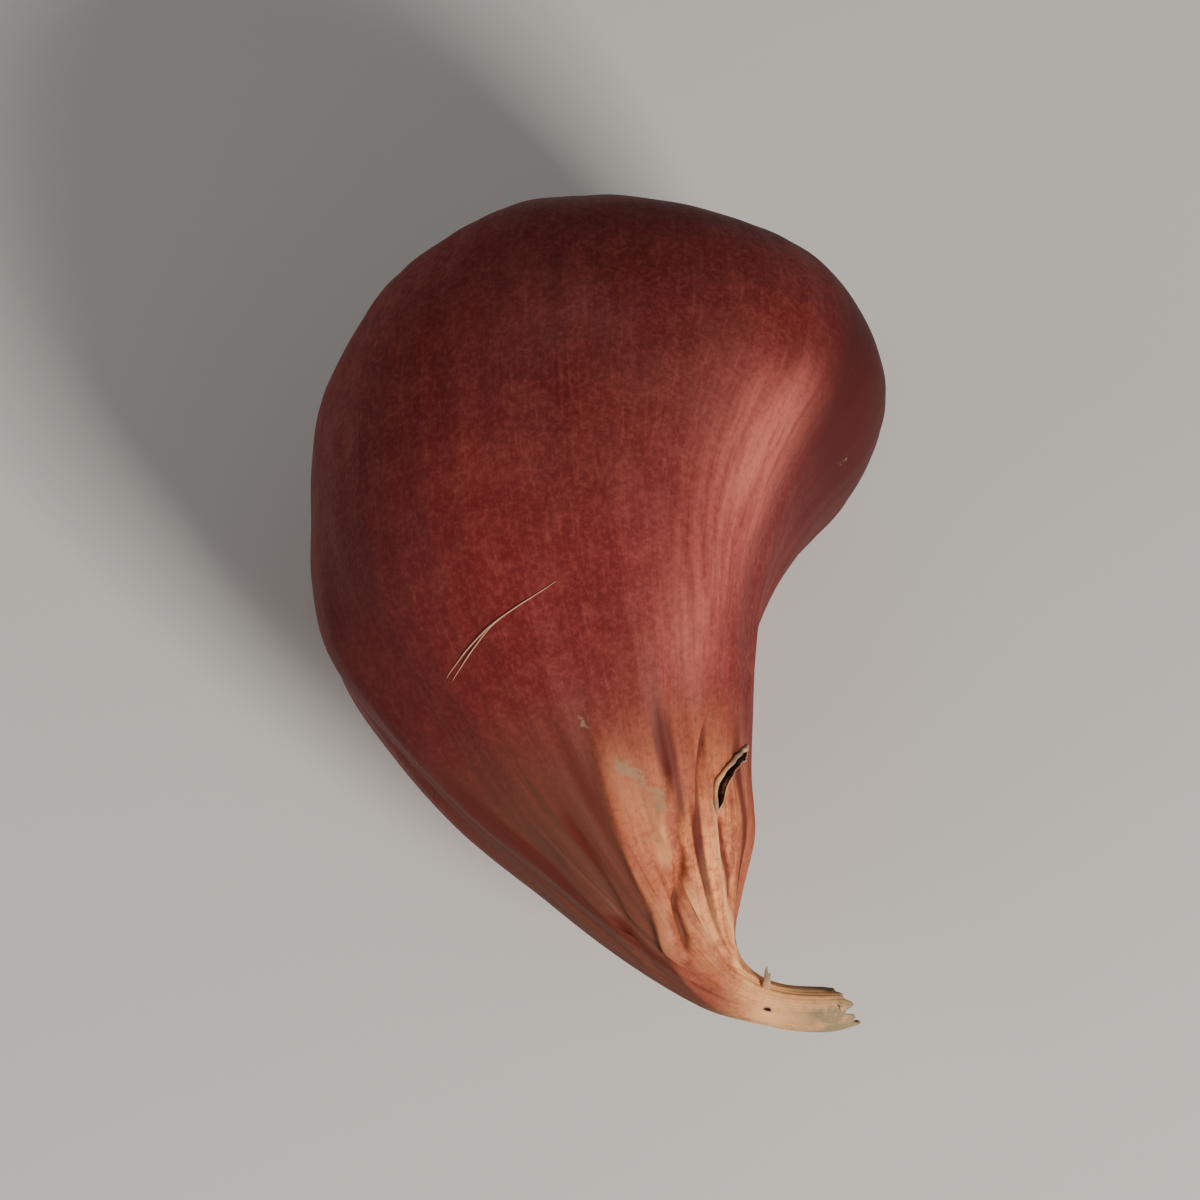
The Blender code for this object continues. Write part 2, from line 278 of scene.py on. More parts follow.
# The split beside the neck, with its path as rings and degrees around, and the raised edge round it
SPLIT_PATH = ((0.668, 10), (0.685, 24), (0.701, 39), (0.714, 48), (0.738, 54))
SPLIT_DEPTH = 0.0008
SPLIT_HALF = 0.00068  # half the split's width
SPLIT_SKEW = 0.62  # below 1, so that the split is widest before the middle of its length
LIP_POINTS = 90
LIP_SIDES = 8
LIP_GAP = 0.05  # radians left open at the start and end of the outline
LIP_REACH = 1.12  # how far out the edge runs, as a share of the split's half width
LIP_LEAN = 0.00012  # and how much further on the left
LIP_LIFT = (0.00004, 0.00006)  # height over the skin, and what is added to it on the left
LIP_RADIUS = (0.00006, 0.00012)  # likewise

# The stray fibre and its branch: rings and degrees around
FIBRE_PATH = ((0.6000, 135.5), (0.5843, 124.0), (0.570, 112.5), (0.5560, 102.0))
BRANCH_PATH = ((0.6030, 134.0), (0.592, 127.0), (0.579, 119.0), (0.570, 112.5))
FIBRE_POINTS = 60
FIBRE_SIDES = 6
FIBRE_RADIUS = 0.00005
FIBRE_LIFT = (0.00002, 0.00005)  # at its ends, and added to it in its middle

# The loose flakes' grids, their thickness, and their lift at the middle and what is added to it at the edge
FLAKE_ROWS = 8
FLAKE_COLUMNS = 14
FLAKE_WALL = 0.00005
FLAKE_LIFT = (0.00003, 0.00009)

# Torn strips of dry skin; each pair runs from the smallest to the largest
TIP_RING = 0.964
TIP_LENGTH = (0.00025, 0.00055)
TIP_WIDTH = (0.0007, 0.0012)
TIP_CURL = (-0.0003, 0.0)
TIP_SUNK = 0.00006
TIP_WALL = 0.00008
RIM_RING = (0.120, 0.142)
RIM_LENGTH = (0.0008, 0.0024)
RIM_WIDTH = (0.0010, 0.0024)
RIM_CURL = (0.0001, 0.0008)
RIM_SUNK = 0.00008
RIM_WALL = 0.00010
STRIP_WAVE = 0.12  # how far a strip's middle line sways, as a share of half its width
STRIP_SKEW = 0.35  # how far its point leans aside
STRIP_CUP = 0.18  # how far its sides fold down, as a share of its width

# The two spikes on the tip: ring, degrees around, aim, length, width and curl
SPIKES = (
    (0.908, 88.0, (-0.12, 0.80, 0.55), 0.0015, 0.0006, 0.0003),
    (0.905, 70.0, (0.25, 0.70, 0.60), 0.0008, 0.0005, 0.0002),
)

# The visible root plate's profile from its middle to its foot: shares of its radius and thickness
PLATE_PROFILE = (
    (0.0, 0.60),
    (0.35, 0.68),
    (0.62, 0.95),
    (0.80, 1.00),
    (0.94, 0.90),
    (1.0, 0.65),
    (1.0, 0.25),
    (0.93, 0.0),
    (0.0, 0.0),
)
PLATE_ROWS = 40
PLATE_COLUMNS = 120
PLATE_BUMP = 0.00012
PLATE_INSET = 0.0001  # how much slimmer the visible plate is than its solid
STUB_POINTS = 20
STUB_SIDES = 12

# The hair roots; each pair runs from the smallest to the largest
ROOTLET_LENGTH = (0.002, 0.0075)
ROOTLET_RADIUS = (0.00006, 0.00014)
ROOTLET_LEAN = (0.2, 1.5)  # radians away from straight out
ROOTLET_POINTS = 22
ROOTLET_SIDES = 6
ROOTLET_WANDER = 0.22
ROOTLET_CEILING = 0.0034  # they stay this low over the plate
ROOTLET_SPREAD = 0.0068  # and this near to its middle

# The crumbs of soil; each pair runs from the smallest to the largest
CRUMB_RADIUS = (0.00012, 0.00042)
CRUMB_ROUGHNESS = (0.7, 1.25)
CRUMB_HEIGHT = (0.70, 1.15)  # shares of the plate's thickness
CRUMB_ROWS = 7
CRUMB_COLUMNS = 9

# Patterns of the finishes: grains in a metre, or for fibres in a radian round the bulb, octaves and roughness
FINE_FIBRES = Grain(62.0, 3.0, 0.6)
MEDIUM_FIBRES = Grain(21.0, 3.0, 0.6)
COARSE_FIBRES = Grain(8.0, 2.0, 0.5)
MOTTLE = Grain(70.0, 2.0, 0.5)
PATCHES = Grain(520.0, 4.0, 0.65)
SCURF = Grain(1300.0, 3.0, 0.7)
SPECKLE = Grain(2600.0, 2.0, 0.7)
DRY_BLOTCHES = Grain(420.0, 3.0, 0.6)
DRY_SPECKLE = Grain(2200.0, 2.0, 0.6)
ROOT_BLOTCHES = Grain(500.0, 4.0, 0.6)
ROOT_SPECKLE = Grain(2600.0, 2.0, 0.6)
SOIL_GRAIN = Grain(1900.0, 3.0, 0.7)
STRAY_GRAIN = Grain(900.0, 2.0, 0.5)

# Bumps of the finishes: height in metres and strength
FIBRE_BUMP = (0.00010, 0.45)
SKIN_BUMP = (0.00005, 0.40)
DRY_BUMP = (0.00008, 0.6)
ROOT_BUMP = (0.00012, 0.7)
SOIL_BUMP = (0.0001, 0.8)

# Colours of small things that no setting holds
SOIL_PALE = (0.24, 0.17, 0.115)
STRAY_DARK = (0.36, 0.14, 0.085)
STRAY_PALE = (0.66, 0.40, 0.26)

# The studio: places from the camera's target, sizes in metres
TARGET = (0.0, 0.001, 0.014)
KEY_PLACE = (0.25, -0.33, 0.22)
KEY_SIZE = 0.12
KEY_COLOR = (1.0, 0.93, 0.85)
FILL_PLACE = (-0.42, -0.12, 0.18)
FILL_SIZE = 0.30
SKY_COLOR = (1.0, 0.97, 0.94)
SKY_STRENGTH = 0.20
FLOOR_SIZE = 3.0


def smooth(keys, values, at):
    """Reads a table at the places asked for, on smooth cubic curves through its rows."""
    keys = np.asarray(keys, float)
    values = np.asarray(values, float)
    slopes = np.empty_like(values)
    slopes[1:-1] = (values[2:] - values[:-2]) / (keys[2:] - keys[:-2])[:, None]
    slopes[0] = (values[1] - values[0]) / (keys[1] - keys[0])
    slopes[-1] = (values[-1] - values[-2]) / (keys[-1] - keys[-2])
    row = np.clip(np.searchsorted(keys, at, side="right") - 1, 0, len(keys) - 2)
    span = (keys[row + 1] - keys[row])[:, None]
    t = np.clip((at - keys[row])[:, None] / span, 0.0, 1.0)
    start = (1 + 2 * t) * (1 - t) ** 2 * values[row]
    end = t * t * (3 - 2 * t) * values[row + 1]
    leave = t * (1 - t) ** 2 * span * slopes[row]
    arrive = t * t * (t - 1) * span * slopes[row + 1]
    return start + end + leave + arrive


def axis_frames(along):
    """The axis's points and its three directions there: sideways, up and onward."""
    table = np.array(HEADINGS)
    steps = np.linspace(table[0, 0], table[-1, 0], AXIS_STEPS)
    headings = np.radians(smooth(table[:, 0], table[:, 1:], steps))
    yaw = headings[:, 0]
    dip = headings[:, 1]
    onward = np.stack([np.sin(yaw) * np.cos(dip), -np.cos(yaw) * np.cos(dip), -np.sin(dip)], axis=1)
    side = np.stack([np.cos(yaw), np.sin(yaw), np.zeros_like(yaw)], axis=1)
    middle = (onward[1:] + onward[:-1]) / 2 * np.diff(steps)[:, None] * AXIS_LENGTH
    points = np.concatenate([np.zeros((1, 3)), np.cumsum(middle, axis=0)])

    def read(samples):
        return np.stack([np.interp(along, steps, samples[:, i]) for i in range(3)], axis=-1)

    belly = [np.interp(BELLY_ALONG, steps, points[:, i]) for i in range(3)]
    place = read(points) - belly + np.array([0.0, 0.0, BELLY_HEIGHT])
    return place, read(side), read(np.cross(onward, side)), read(onward)


def sections(ring):
    """The rows of the profile read at these rings: along, the four reaches, relief, pleat and ragged."""
    table = np.array(profile())
    reach = table[:, 1:5].mean(axis=1) * BULB_WIDTH / 2
    steps = np.hypot(np.diff(table[:, 0] * AXIS_LENGTH), np.diff(reach))
    keys = np.concatenate([[0.0], np.cumsum(steps)])
    return smooth(keys, table, np.clip(ring, 0.0, 1.0) * keys[-1]).T


def form_points(ring, around):
    """The bulb's plain form: an oval section with a squared right side, pleated, on the curved axis."""
    along, left, right, up, down, relief, pleat, ragged = sections(ring)
    folds = sum(share * np.cos(n * around + phase + n * PLEAT_TWIST * along) for n, share, phase in PLEATS)
    swell = sum(
        size * np.sin(n * around + phase) * np.cos(waves * math.pi * along)
        for n, waves, size, phase in SWELLS
    )
    rags = sum(share * np.sin(n * around + phase) for n, share, phase in RAGS)
    grow = 1 + pleat * folds + relief * swell
    c = np.cos(around)
    s = np.sin(around)
    squared = 1 + CORNER * relief * (1 - c * c)
    sideways = np.where(c > 0, right * squared, left) * c * grow * BULB_WIDTH / 2
    upward = np.where(s > 0, up, down) * s * grow * BULB_THICKNESS / 2
    slant = -TIP_SLANT * np.cos(around) * np.clip((along - TIP_START) / (1 - TIP_START), 0.0, 1.0)
    place, side, rise, _ = axis_frames(along + ragged * rags + slant)
    return place + side * sideways[:, None] + rise * upward[:, None]


def frame_shift():
    """How far the form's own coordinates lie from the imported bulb, found on the solid's own grid."""
    ring = np.repeat(np.linspace(0.0, 1.0, SOLID_RINGS + 1), SOLID_SEGMENTS)
    turn = np.linspace(-math.pi, math.pi, SOLID_SEGMENTS, endpoint=False)
    points = form_points(ring, np.tile(turn, SOLID_RINGS + 1))
    low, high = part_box("bulb")
    middle = (points.min(axis=0) + points.max(axis=0)) / 2
    return np.array([(low.x + high.x) / 2 - middle[0], (low.y + high.y) / 2 - middle[1], 0.0])


SHIFT = frame_shift()


def ease(value, low, high):
    """Rises from 0 at low to 1 at high with level ends."""
    t = np.clip((value - low) / (high - low), 0.0, 1.0)
    return t * t * (3 - 2 * t)


def girth(ring):
    """The mean radius of the section at these rings."""
    _, left, right, up, down, *_ = sections(ring)
    return (left + right) * BULB_WIDTH / 8 + (up + down) * BULB_THICKNESS / 8


def path_middle(ring, path):
    """Where around the bulb a path lies at these rings, in radians."""
    table = np.array(path, float)
    return np.radians(smooth(table[:, 0], table[:, 1:], ring)[:, 0])


def beside(ring, around, path):
    """Distance over the surface from a path, positive to the left, and a fade at the path's ends."""
    first = path[0][0]
    last = path[-1][0]
    middle = path_middle(np.clip(ring, first, last), path)
    apart = np.angle(np.exp(1j * (around - middle)))
    run = (last - first) / 4
    fade = ease(ring, first, first + run) * (1 - ease(ring, last - run, last))
    return apart * girth(ring), fade


def follow(ring, around, fold):
    """A bell across a fold's path with its own slope on each side, 1 on the path and 0 away from it."""
    away, fade = beside(ring, around, fold.path)
    width = np.where(away > 0, fold.left_width, fold.right_width)
    return np.exp(-((away / width) ** 2)) * fade


def ripples(ring, around, turns, waves, count, seed):
    """A seeded sum of waves round and along the tunic, about -1 to 1, that closes on itself."""
    rng = random.Random(seed)
    total = np.zeros_like(around)
    for _ in range(count):
        n = rng.randint(*turns)
        total += np.cos(n * around + rng.uniform(-waves, waves) * math.tau * ring + rng.uniform(0, math.tau))
    return total / math.sqrt(count / 2) / 1.6


def front_of_neck(ring, around):
    """1 on the face of the neck that carries its named folds, 0 on the rest."""
    opening = ease(around, math.radians(-10), math.radians(20))
    closing = 1 - ease(around, math.radians(150), math.pi)
    return opening * closing * ease(ring, 0.62, 0.70)


def neck_relief(ring, around):
    """The height of the named folds, less the solid's even pleats where they would cross them."""
    along, *_, pleat, _ = sections(ring)
    even = sum(share * np.cos(n * around + phase + n * PLEAT_TWIST * along) for n, share, phase in PLEATS)
    taken = -even * pleat * girth(ring) * front_of_neck(ring, around) * 0.85
    return taken + sum(fold.height * follow(ring, around, fold) for fold in NECK_FOLDS)


def left_of_neck(ring, around):
    """1 on the neck's left side, left of its sharp ridge, where painted shade goes, and 0 on the rest."""
    away, _ = beside(ring, around, NECK_FOLDS[0].path)
    return ease(away, 0.0, 0.0005) * (1 - ease(away, 0.012, 0.018)) * ease(ring, 0.60, 0.73)


def spots(ring, around, places):
    """Round bells at places, each with a ring, degrees around and a radius in metres."""
    total = np.zeros_like(ring)
    for spot_ring, degrees, radius in places:
        ahead = (ring - spot_ring) * TUNIC_LENGTH
        aside = np.angle(np.exp(1j * (around - math.radians(degrees)))) * girth(ring)
        total += np.exp(-((ahead / 1.6) ** 2 + aside**2) / radius**2)
    return total


def split_reach(share):
    """Half the split's width at a share of its length: the root of half a sine wave, skewed to its start."""
    return SPLIT_HALF * np.sqrt(np.clip(np.sin(math.pi * share**SPLIT_SKEW), 0.0, 1.0))


def split_depth(ring, around):
    """The lens-shaped split beside the neck: 1 in its bottom, 0 outside."""
    away, _ = beside(ring, around, SPLIT_PATH)
    first = SPLIT_PATH[0][0]
    last = SPLIT_PATH[-1][0]
    share = np.clip((ring - first) / (last - first), 0.0, 1.0)
    half = split_reach(share) + 0.00001
    inside = (ring > first) & (ring < last)
    return np.where(inside, 1 - ease(np.abs(away) / half, 0.62, 1.05), 0.0)


def relief(ring, around):
    """The tunic's fine relief in metres: folds, the right-hand ridge, wrinkles, dents and the split."""
    height = neck_relief(ring, around)
    height = height + RIGHT_RIDGE.height * follow(ring, around, RIGHT_RIDGE)
    neck = ease(ring, 0.52, 0.80)
    body = ease(ring, 0.17, 0.28) * (1 - ease(ring, 0.96, 1.0))
    slim = np.clip(girth(ring) / SLIM_GIRTH, SLIM_LEAST, 1.0)
    wrinkled = WRINKLE_HEIGHT + NECK_WRINKLE_HEIGHT * neck
    height += slim * body * wrinkled * ripples(ring, around, *WRINKLES)
    height += slim * body * neck * CREASE_HEIGHT * ripples(ring, around, *CREASES)
    height += body * (1 - neck) * DENT_HEIGHT * ripples(ring, around, *DENTS)
    shoulder = ease(ring, 0.13, 0.16) * (1 - ease(ring, 0.17, 0.24))
    height += shoulder * PUCKER_HEIGHT * ripples(ring, around, *PUCKERS)
    return height - SPLIT_DEPTH * split_depth(ring, around)


def skin_points(ring, around, lift=0.0):
    """Points of the fine tunic: the form, moved along its own outward direction by the relief and a lift."""
    here = form_points(ring, around)
    onward = form_points(ring + 0.001, around) - form_points(ring - 0.001, around)
    across = form_points(ring, around + 0.005) - form_points(ring, around - 0.005)
    outward = np.cross(across, onward)
    outward /= np.maximum(np.linalg.norm(outward, axis=1), 1e-12)[:, None]
    points = here + outward * (relief(ring, around) + lift)[:, None] + SHIFT
    points[:, 2] = np.maximum(points[:, 2], 0.0)
    return points


def closed_grids(name, points, attributes=None):
    """One mesh of closed shapes. points is shapes by rows by columns by 3; the end rows close to poles."""
    shapes, rows, columns, _ = points.shape
    inner = points[:, 1:-1].reshape(shapes, -1, 3)
    poles = points[:, [0, -1]].mean(axis=2)
    vertices = np.concatenate([inner, poles], axis=1).reshape(-1, 3)
    index = np.arange((rows - 2) * columns).reshape(rows - 2, columns)
    beyond = np.roll(index, -1, axis=1)
    quads = np.stack([index[:-1], beyond[:-1], beyond[1:], index[1:]], axis=-1).reshape(-1, 4)
    first = np.stack([np.full(columns, index.size), beyond[0], index[0]], axis=-1)
    last = np.stack([index[-1], beyond[-1], np.full(columns, index.size + 1)], axis=-1)
    fans = np.concatenate([first, last])
    start = (np.arange(shapes) * (index.size + 2))[:, None, None]
    quads = (quads[None] + start).reshape(-1, 4)
    fans = (fans[None] + start).reshape(-1, 3)
    mesh = bpy.data.meshes.new(name)
    mesh.from_pydata(vertices, [], quads.tolist() + fans.tolist())
    for label, values in (attributes or {}).items():
        inside = values[:, 1:-1].reshape(shapes, -1)
        ends = values[:, [0, -1]].mean(axis=2)
        write_attribute(mesh, label, np.concatenate([inside, ends], axis=1).ravel())
    return finish_mesh(name, mesh)


def open_grids(name, points, thickness, attributes=None):
    """One mesh of thin sheets with a real thickness. points is sheets by rows by columns by 3."""
    sheets, rows, columns, _ = points.shape
    index = np.arange(rows * columns).reshape(rows, columns)
    corners = [index[:-1, :-1], index[:-1, 1:], index[1:, 1:], index[1:, :-1]]
    quads = np.stack(corners, axis=-1).reshape(-1, 4)
    quads = (quads[None] + (np.arange(sheets) * index.size)[:, None, None]).reshape(-1, 4)
    mesh = bpy.data.meshes.new(name)
    mesh.from_pydata(points.reshape(-1, 3), [], quads.tolist())
    for label, values in (attributes or {}).items():
        write_attribute(mesh, label, values.ravel())
    made = finish_mesh(name, mesh)
    wall = made.modifiers.new("wall", "SOLIDIFY")
    wall.thickness = thickness
    wall.offset = 0.0
    return made


def write_attribute(mesh, label, values):
    """Gives each vertex one number that the finishes read."""
    mesh.attributes.new(label, "FLOAT", "POINT").data.foreach_set("value", values.astype(np.float32))


def finish_mesh(name, mesh):
    """Shades a mesh smooth and puts it in the scene."""
    mesh.shade_smooth()
    mesh.update()
    made = bpy.data.objects.new(name, mesh)
    bpy.context.scene.collection.objects.link(made)
    return made


def tube_points(paths, radii, sides):
    """Tubes with a ring square on each point of their paths, which are tubes by points by 3."""
    onward = np.gradient(paths, axis=1)
    onward /= np.linalg.norm(onward, axis=2, keepdims=True)
    least = np.abs(onward.mean(axis=1)).argmin(axis=1)
    guide = np.eye(3)[least][:, None, :]
    side = guide - onward * (guide * onward).sum(axis=2, keepdims=True)
    side /= np.linalg.norm(side, axis=2, keepdims=True)
    rise = np.cross(onward, side)
    turn = np.linspace(0.0, math.tau, sides, endpoint=False)
    ring = side[:, :, None] * np.cos(turn)[:, None] + rise[:, :, None] * np.sin(turn)[:, None]
    return paths[:, :, None] + ring * radii[:, :, None, None]


def own(piece, material):
    """Gives a piece its material and slot, and lets it ride on the bulb."""
    piece.data.materials.append(material)
    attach(piece, "root")
    return piece


class Wire:
    """A shader socket that Python sums can be written with. Each operator adds one Math node."""

    def __init__(self, maker, socket):
        self.maker = maker
        self.socket = socket

    def math(self, operation, *others):
        made = self.maker.node("ShaderNodeMath", {"operation": operation}, dict(enumerate((self, *others))))
        return self.maker.wire(made)

    def __add__(self, other):
        return self.math("ADD", other)

    def __mul__(self, other):
        return self.math("MULTIPLY", other)

    def __rsub__(self, other):
        return self * -1.0 + other

    __radd__ = __add__
    __rmul__ = __mul__

    def between(self, low, high):
        """0 below low, 1 above high, eased in between."""
        settings = {"interpolation_type": "SMOOTHSTEP"}
        sockets = {"Value": self, "From Min": low, "From Max": high}
        return self.maker.wire(self.maker.node("ShaderNodeMapRange", settings, sockets))


class Finish:
    """Builds one material's nodes."""

    def __init__(self, name, **constants):
        self.material = bpy.data.materials.new(name)
        self.material.use_nodes = True
        self.tree = self.material.node_tree
        self.shader = self.tree.nodes["Principled BSDF"]
        for label, value in constants.items():
            self.shader.inputs[label.replace("_", " ")].default_value = value

    def node(self, kind, settings=None, sockets=None):
        """One node: its settings come first, then the values or links of its sockets."""
        made = self.tree.nodes.new(kind)
        for label, value in (settings or {}).items():
            setattr(made, label, value)
        for label, value in (sockets or {}).items():
            self.feed(made.inputs[label], value)
        return made

    def feed(self, target, value):
        if isinstance(value, Wire):
            self.tree.links.new(value.socket, target)
        else:
            target.default_value = value

    def wire(self, made, output=0):
        return Wire(self, made.outputs[output])

    def attribute(self, label):
        return self.wire(self.node("ShaderNodeAttribute", {"attribute_name": label}), "Fac")

    def place(self):
        return self.wire(self.node("ShaderNodeTexCoord"), "Object")

    def vector(self, x, y, z):
        return self.wire(self.node("ShaderNodeCombineXYZ", None, {"X": x, "Y": y, "Z": z}))

    def noise(self, at, grain):
        sockets = {"Vector": at, "Scale": grain.scale, "Detail": grain.detail, "Roughness": grain.roughness}
        return self.wire(self.node("ShaderNodeTexNoise", None, sockets), "Fac")

    def mix(self, share, first, second):
        """A colour between two others."""
        settings = {"data_type": "RGBA", "blend_type": "MIX"}
        return self.wire(self.node("ShaderNodeMix", settings, {0: share, 6: first, 7: second}), 2)

    def bump(self, height, distance, strength, under=None):
        sockets = {"Height": height, "Distance": distance, "Strength": strength}
        if under is not None:
            sockets["Normal"] = under
        return self.wire(self.node("ShaderNodeBump", None, sockets))

    def set(self, **links):
        for label, value in links.items():
            self.feed(self.shader.inputs[label.replace("_", " ")], value)
        return self.material


def rgb(color):
    """A colour with full alpha."""
    return (color[0], color[1], color[2], 1.0)


def color_property(name, description, default):
    return FloatVectorProperty(
        name=name, description=description, default=default, subtype="COLOR", size=3, min=0.0, max=1.0
    )


class TunicSettings(bpy.types.PropertyGroup):
    """The colours of the papery tunic."""

    deep: color_property(
        "Deep colour", "The darkest mahogany, in grooves and mottles", (0.058, 0.0048, 0.0045)
    )
    red: color_property("Body colour", "The chestnut red of most of the bulb", (0.180, 0.0145, 0.0152))
    # the salmon of the fibres and of the right-hand ridge, where it is partly a painted highlight
    pale: color_property(
        "Fibre colour", "The salmon of the fibres and the right flank", (0.52, 0.140, 0.108)
    )
    # the neck's own orange tan, which the finish lays mostly on the lit side as painted light
    neck: color_property("Neck colour", "The orange tan of the neck's folds", (1.0, 0.37, 0.135))
    rosy: color_property(
        "Rosy mottle", "The rosy red between the neck's orange fibres", (0.34, 0.052, 0.038)
    )
    # painted shade: the colour of the neck's shaded left side
    brown: color_property("Shaded side", "The dull brown of the neck's left side", (0.090, 0.032, 0.021))
    tan: color_property("Dry colour", "The cream tan of the tip and the torn edges", (0.78, 0.42, 0.18))
    grey: color_property(
        "Weathered colour", "The grey brown of weathered skin and flecks", (0.23, 0.17, 0.095)
    )
    # the dark red of the neck's blots and streaks, also used for painted shade in its grooves
    groove: color_property("Groove colour", "The dark red in the folds' grooves", (0.095, 0.013, 0.008))
    # painted shade: the near black put inside the split, the mouth and a small hole
    inside: color_property(
        "Inside colour", "The near black inside the split and the mouth", (0.014, 0.005, 0.004)
    )
    bloom: color_property(
        "Bloom colour", "The faint greyish bloom on the upper side", (0.17, 0.105, 0.090)
    )
    roughness: FloatProperty(
        name="Roughness", description="How matt the skin is", default=0.60, min=0.0, max=1.0
    )
    shreds: IntProperty(
        name="Tip shreds", description="How many torn shreds the tip has", default=11, min=1
    )
    rim_flaps: IntProperty(
        name="Rim flaps", description="How many torn flaps the base has", default=26, min=1
    )


class RootSettings(bpy.types.PropertyGroup):
    """The roots, rootlets and soil at the base."""

    dry: color_property("Root colour", "The tan of the dried roots", (0.40, 0.26, 0.145))
    dark: color_property("Gap colour", "The dark brown between the roots", (0.045, 0.024, 0.014))
    soil: color_property("Soil colour", "The dry soil caught in the roots", (0.075, 0.045, 0.027))
    rootlets: IntProperty(
        name="Rootlets", description="How many hair roots there are", default=170, min=1
    )
    crumbs: IntProperty(
        name="Crumbs", description="How many crumbs of soil there are", default=190, min=1
    )


class StageSettings(bpy.types.PropertyGroup):
    """The camera and the light."""

    elevation: FloatProperty(
        name="Camera height", description="Angle above the floor", default=math.radians(65), subtype="ANGLE"
    )
    distance: FloatProperty(
        name="Camera distance", description="From the bulb", default=0.33, unit="LENGTH"
    )
    lens: FloatProperty(name="Lens", description="Focal length in millimetres", default=150.0)
    key: FloatProperty(name="Key light", description="Power in watts", default=3.0, min=0.0)
    fill: FloatProperty(name="Fill light", description="Power in watts", default=0.52, min=0.0)
    floor: color_property("Floor colour", "The pale surface", (0.72, 0.71, 0.69))


def tunic_finish(settings):
    """The papery skin: mahogany with fine fibres that run to the neck, where it turns orange tan.

    Each layer is a share, worked out from noises and attributes, and the colour that it brings over the last.
    """
    make = Finish("papery_tunic", Metallic=0.0, Specular_IOR_Level=0.18)
    place = make.place()
    neck = make.attribute("neck")
    fold = make.attribute("fold")
    dry = make.attribute("dry")
    shade = make.attribute("shade")
    strands = make.vector(make.attribute("fibre_x"), make.attribute("fibre_y"), make.attribute("fibre_z"))
    fine = make.noise(strands, FINE_FIBRES)
    medium = make.noise(strands, MEDIUM_FIBRES)
    coarse = make.noise(strands, COARSE_FIBRES)
    mottle = make.noise(place, MOTTLE)
    patch = make.noise(place, PATCHES)
    speck = make.noise(place, SPECKLE)
    scurf = make.noise(place, SCURF)

    ruddy = 1.0 - (patch * 0.45 + coarse * 0.25 + scurf * 0.30).between(0.44, 0.60)
    blots = 1.0 - (coarse * 0.7 + patch * 0.3).between(0.40, 0.54)
    bloom = make.attribute("bloom") * mottle.between(0.3, 0.7) * (speck * 0.7 + 0.4)
    weathered = make.attribute("fleck") * 0.42 + patch * 0.5 + scurf * 0.9
    cream = (patch * 0.65 + speck * 0.35).between(0.38, 0.60) * 0.50 + 0.42
    layers = (
        # patches, and the paler skin along the right-hand ridge with its painted highlight, over the body
        (patch.between(0.40, 0.75) * 0.12, settings.pale),
        (make.attribute("flank_pale_and_highlight") * (medium.between(0.30, 0.68) * 0.45 + 0.42), settings.pale),
        # the neck's orange, laid mostly on its lit side as painted light, with its rosy mottle, then the
        # fibres, blots and streaks
        (neck * (coarse.between(0.25, 0.7) * 0.35 + 0.65), settings.neck),
        (ruddy * neck * (1.0 - dry) * 0.65, settings.rosy),
        (fine.between(0.52, 0.72) * (neck * 0.12 + 0.10), settings.pale),
        ((1.0 - fine.between(0.28, 0.48)) * (1.0 - dry) * 0.22, settings.deep),
        (medium.between(0.56, 0.74) * (neck * 0.20 + 0.06), settings.pale),
        (blots * neck * (1.0 - dry) * 0.55, settings.groove),
        ((1.0 - medium.between(0.32, 0.52)) * (1.0 - dry) * (neck * 0.62 + 0.06), settings.groove),
        # speckle all over, and painted shade over broad places
        (speck.between(0.42, 0.78) * 0.16, settings.pale),
        ((1.0 - speck.between(0.24, 0.56)) * (neck * 0.16 + 0.24), settings.deep),
        # painted shade over broad places
        (make.attribute("broad_painted_shade") * 0.62, settings.deep),
        # painted shade on the neck's left side, painted highlight on its ridges and painted shade in its
        # grooves
        (shade * (medium.between(0.3, 0.7) * 0.25 + 0.72), settings.brown),
        # painted highlight: the raised folds turn tan on the neck's lit side
        (fold.between(0.7, 1.5) * neck * (1.0 - shade) * 0.60, settings.tan),
        # painted shade: the neck's grooves turn dark red
        ((1.0 - fold.between(-0.7, -0.05)) * 0.92, settings.groove),
        # bloom, weathered flecks, the dry tip, wear near the base with painted shade at the tip's end, and
        # painted shade inside the split and the mouth
        (bloom * 0.55, settings.bloom),
        (weathered.between(1.06, 1.16) * 0.62, settings.grey),
        (dry * cream, settings.tan),
        # wear near the base, and painted shade at the tip's end
        (make.attribute("wear_and_tip_shade") * (patch.between(0.36, 0.60) * 0.55 + 0.35), settings.grey),
        # painted shade: near black inside the split, the mouth and a small hole
        (make.attribute("hollow_shade") * 3.0, settings.inside),
    )
    color = make.mix(mottle.between(0.25, 0.75) * 0.45 + 0.45, rgb(settings.deep), rgb(settings.red))
    for share, tone in layers:
        color = make.mix(share, color, rgb(tone))

    rough = mottle * 0.12 + medium * 0.16 + (settings.roughness - 0.12)
    calm = (1.0 - neck * 0.6) * (1.0 - dry)
    fibres = make.bump((fine * 0.5 + medium * 0.6) * calm, *FIBRE_BUMP)
    grain = make.bump(patch * 0.8 + speck * 0.4, *SKIN_BUMP, fibres)
    return make.set(Base_Color=color, Roughness=rough, Normal=grain)


def dry_skin_finish(settings):
    """Torn dry skin: cream tan with grey brown streaks and red remains."""
    make = Finish("dry_skin", Metallic=0.0, Specular_IOR_Level=0.35, Sheen_Weight=0.1)
    place = make.place()
    blotch = make.noise(place, DRY_BLOTCHES)
    speck = make.noise(place, DRY_SPECKLE)
    outer = make.attribute("outer")
    color = make.mix(blotch.between(0.35, 0.65), rgb(settings.grey), rgb(settings.tan))
    color = make.mix(speck.between(0.55, 0.75) * 0.5, color, rgb(settings.grey))
    color = make.mix((1.0 - outer) * 0.75, color, rgb(settings.red))
    bump = make.bump(blotch * 0.6 + speck * 0.4, *DRY_BUMP)
    return make.set(Base_Color=color, Roughness=blotch * 0.2 + 0.55, Normal=bump)


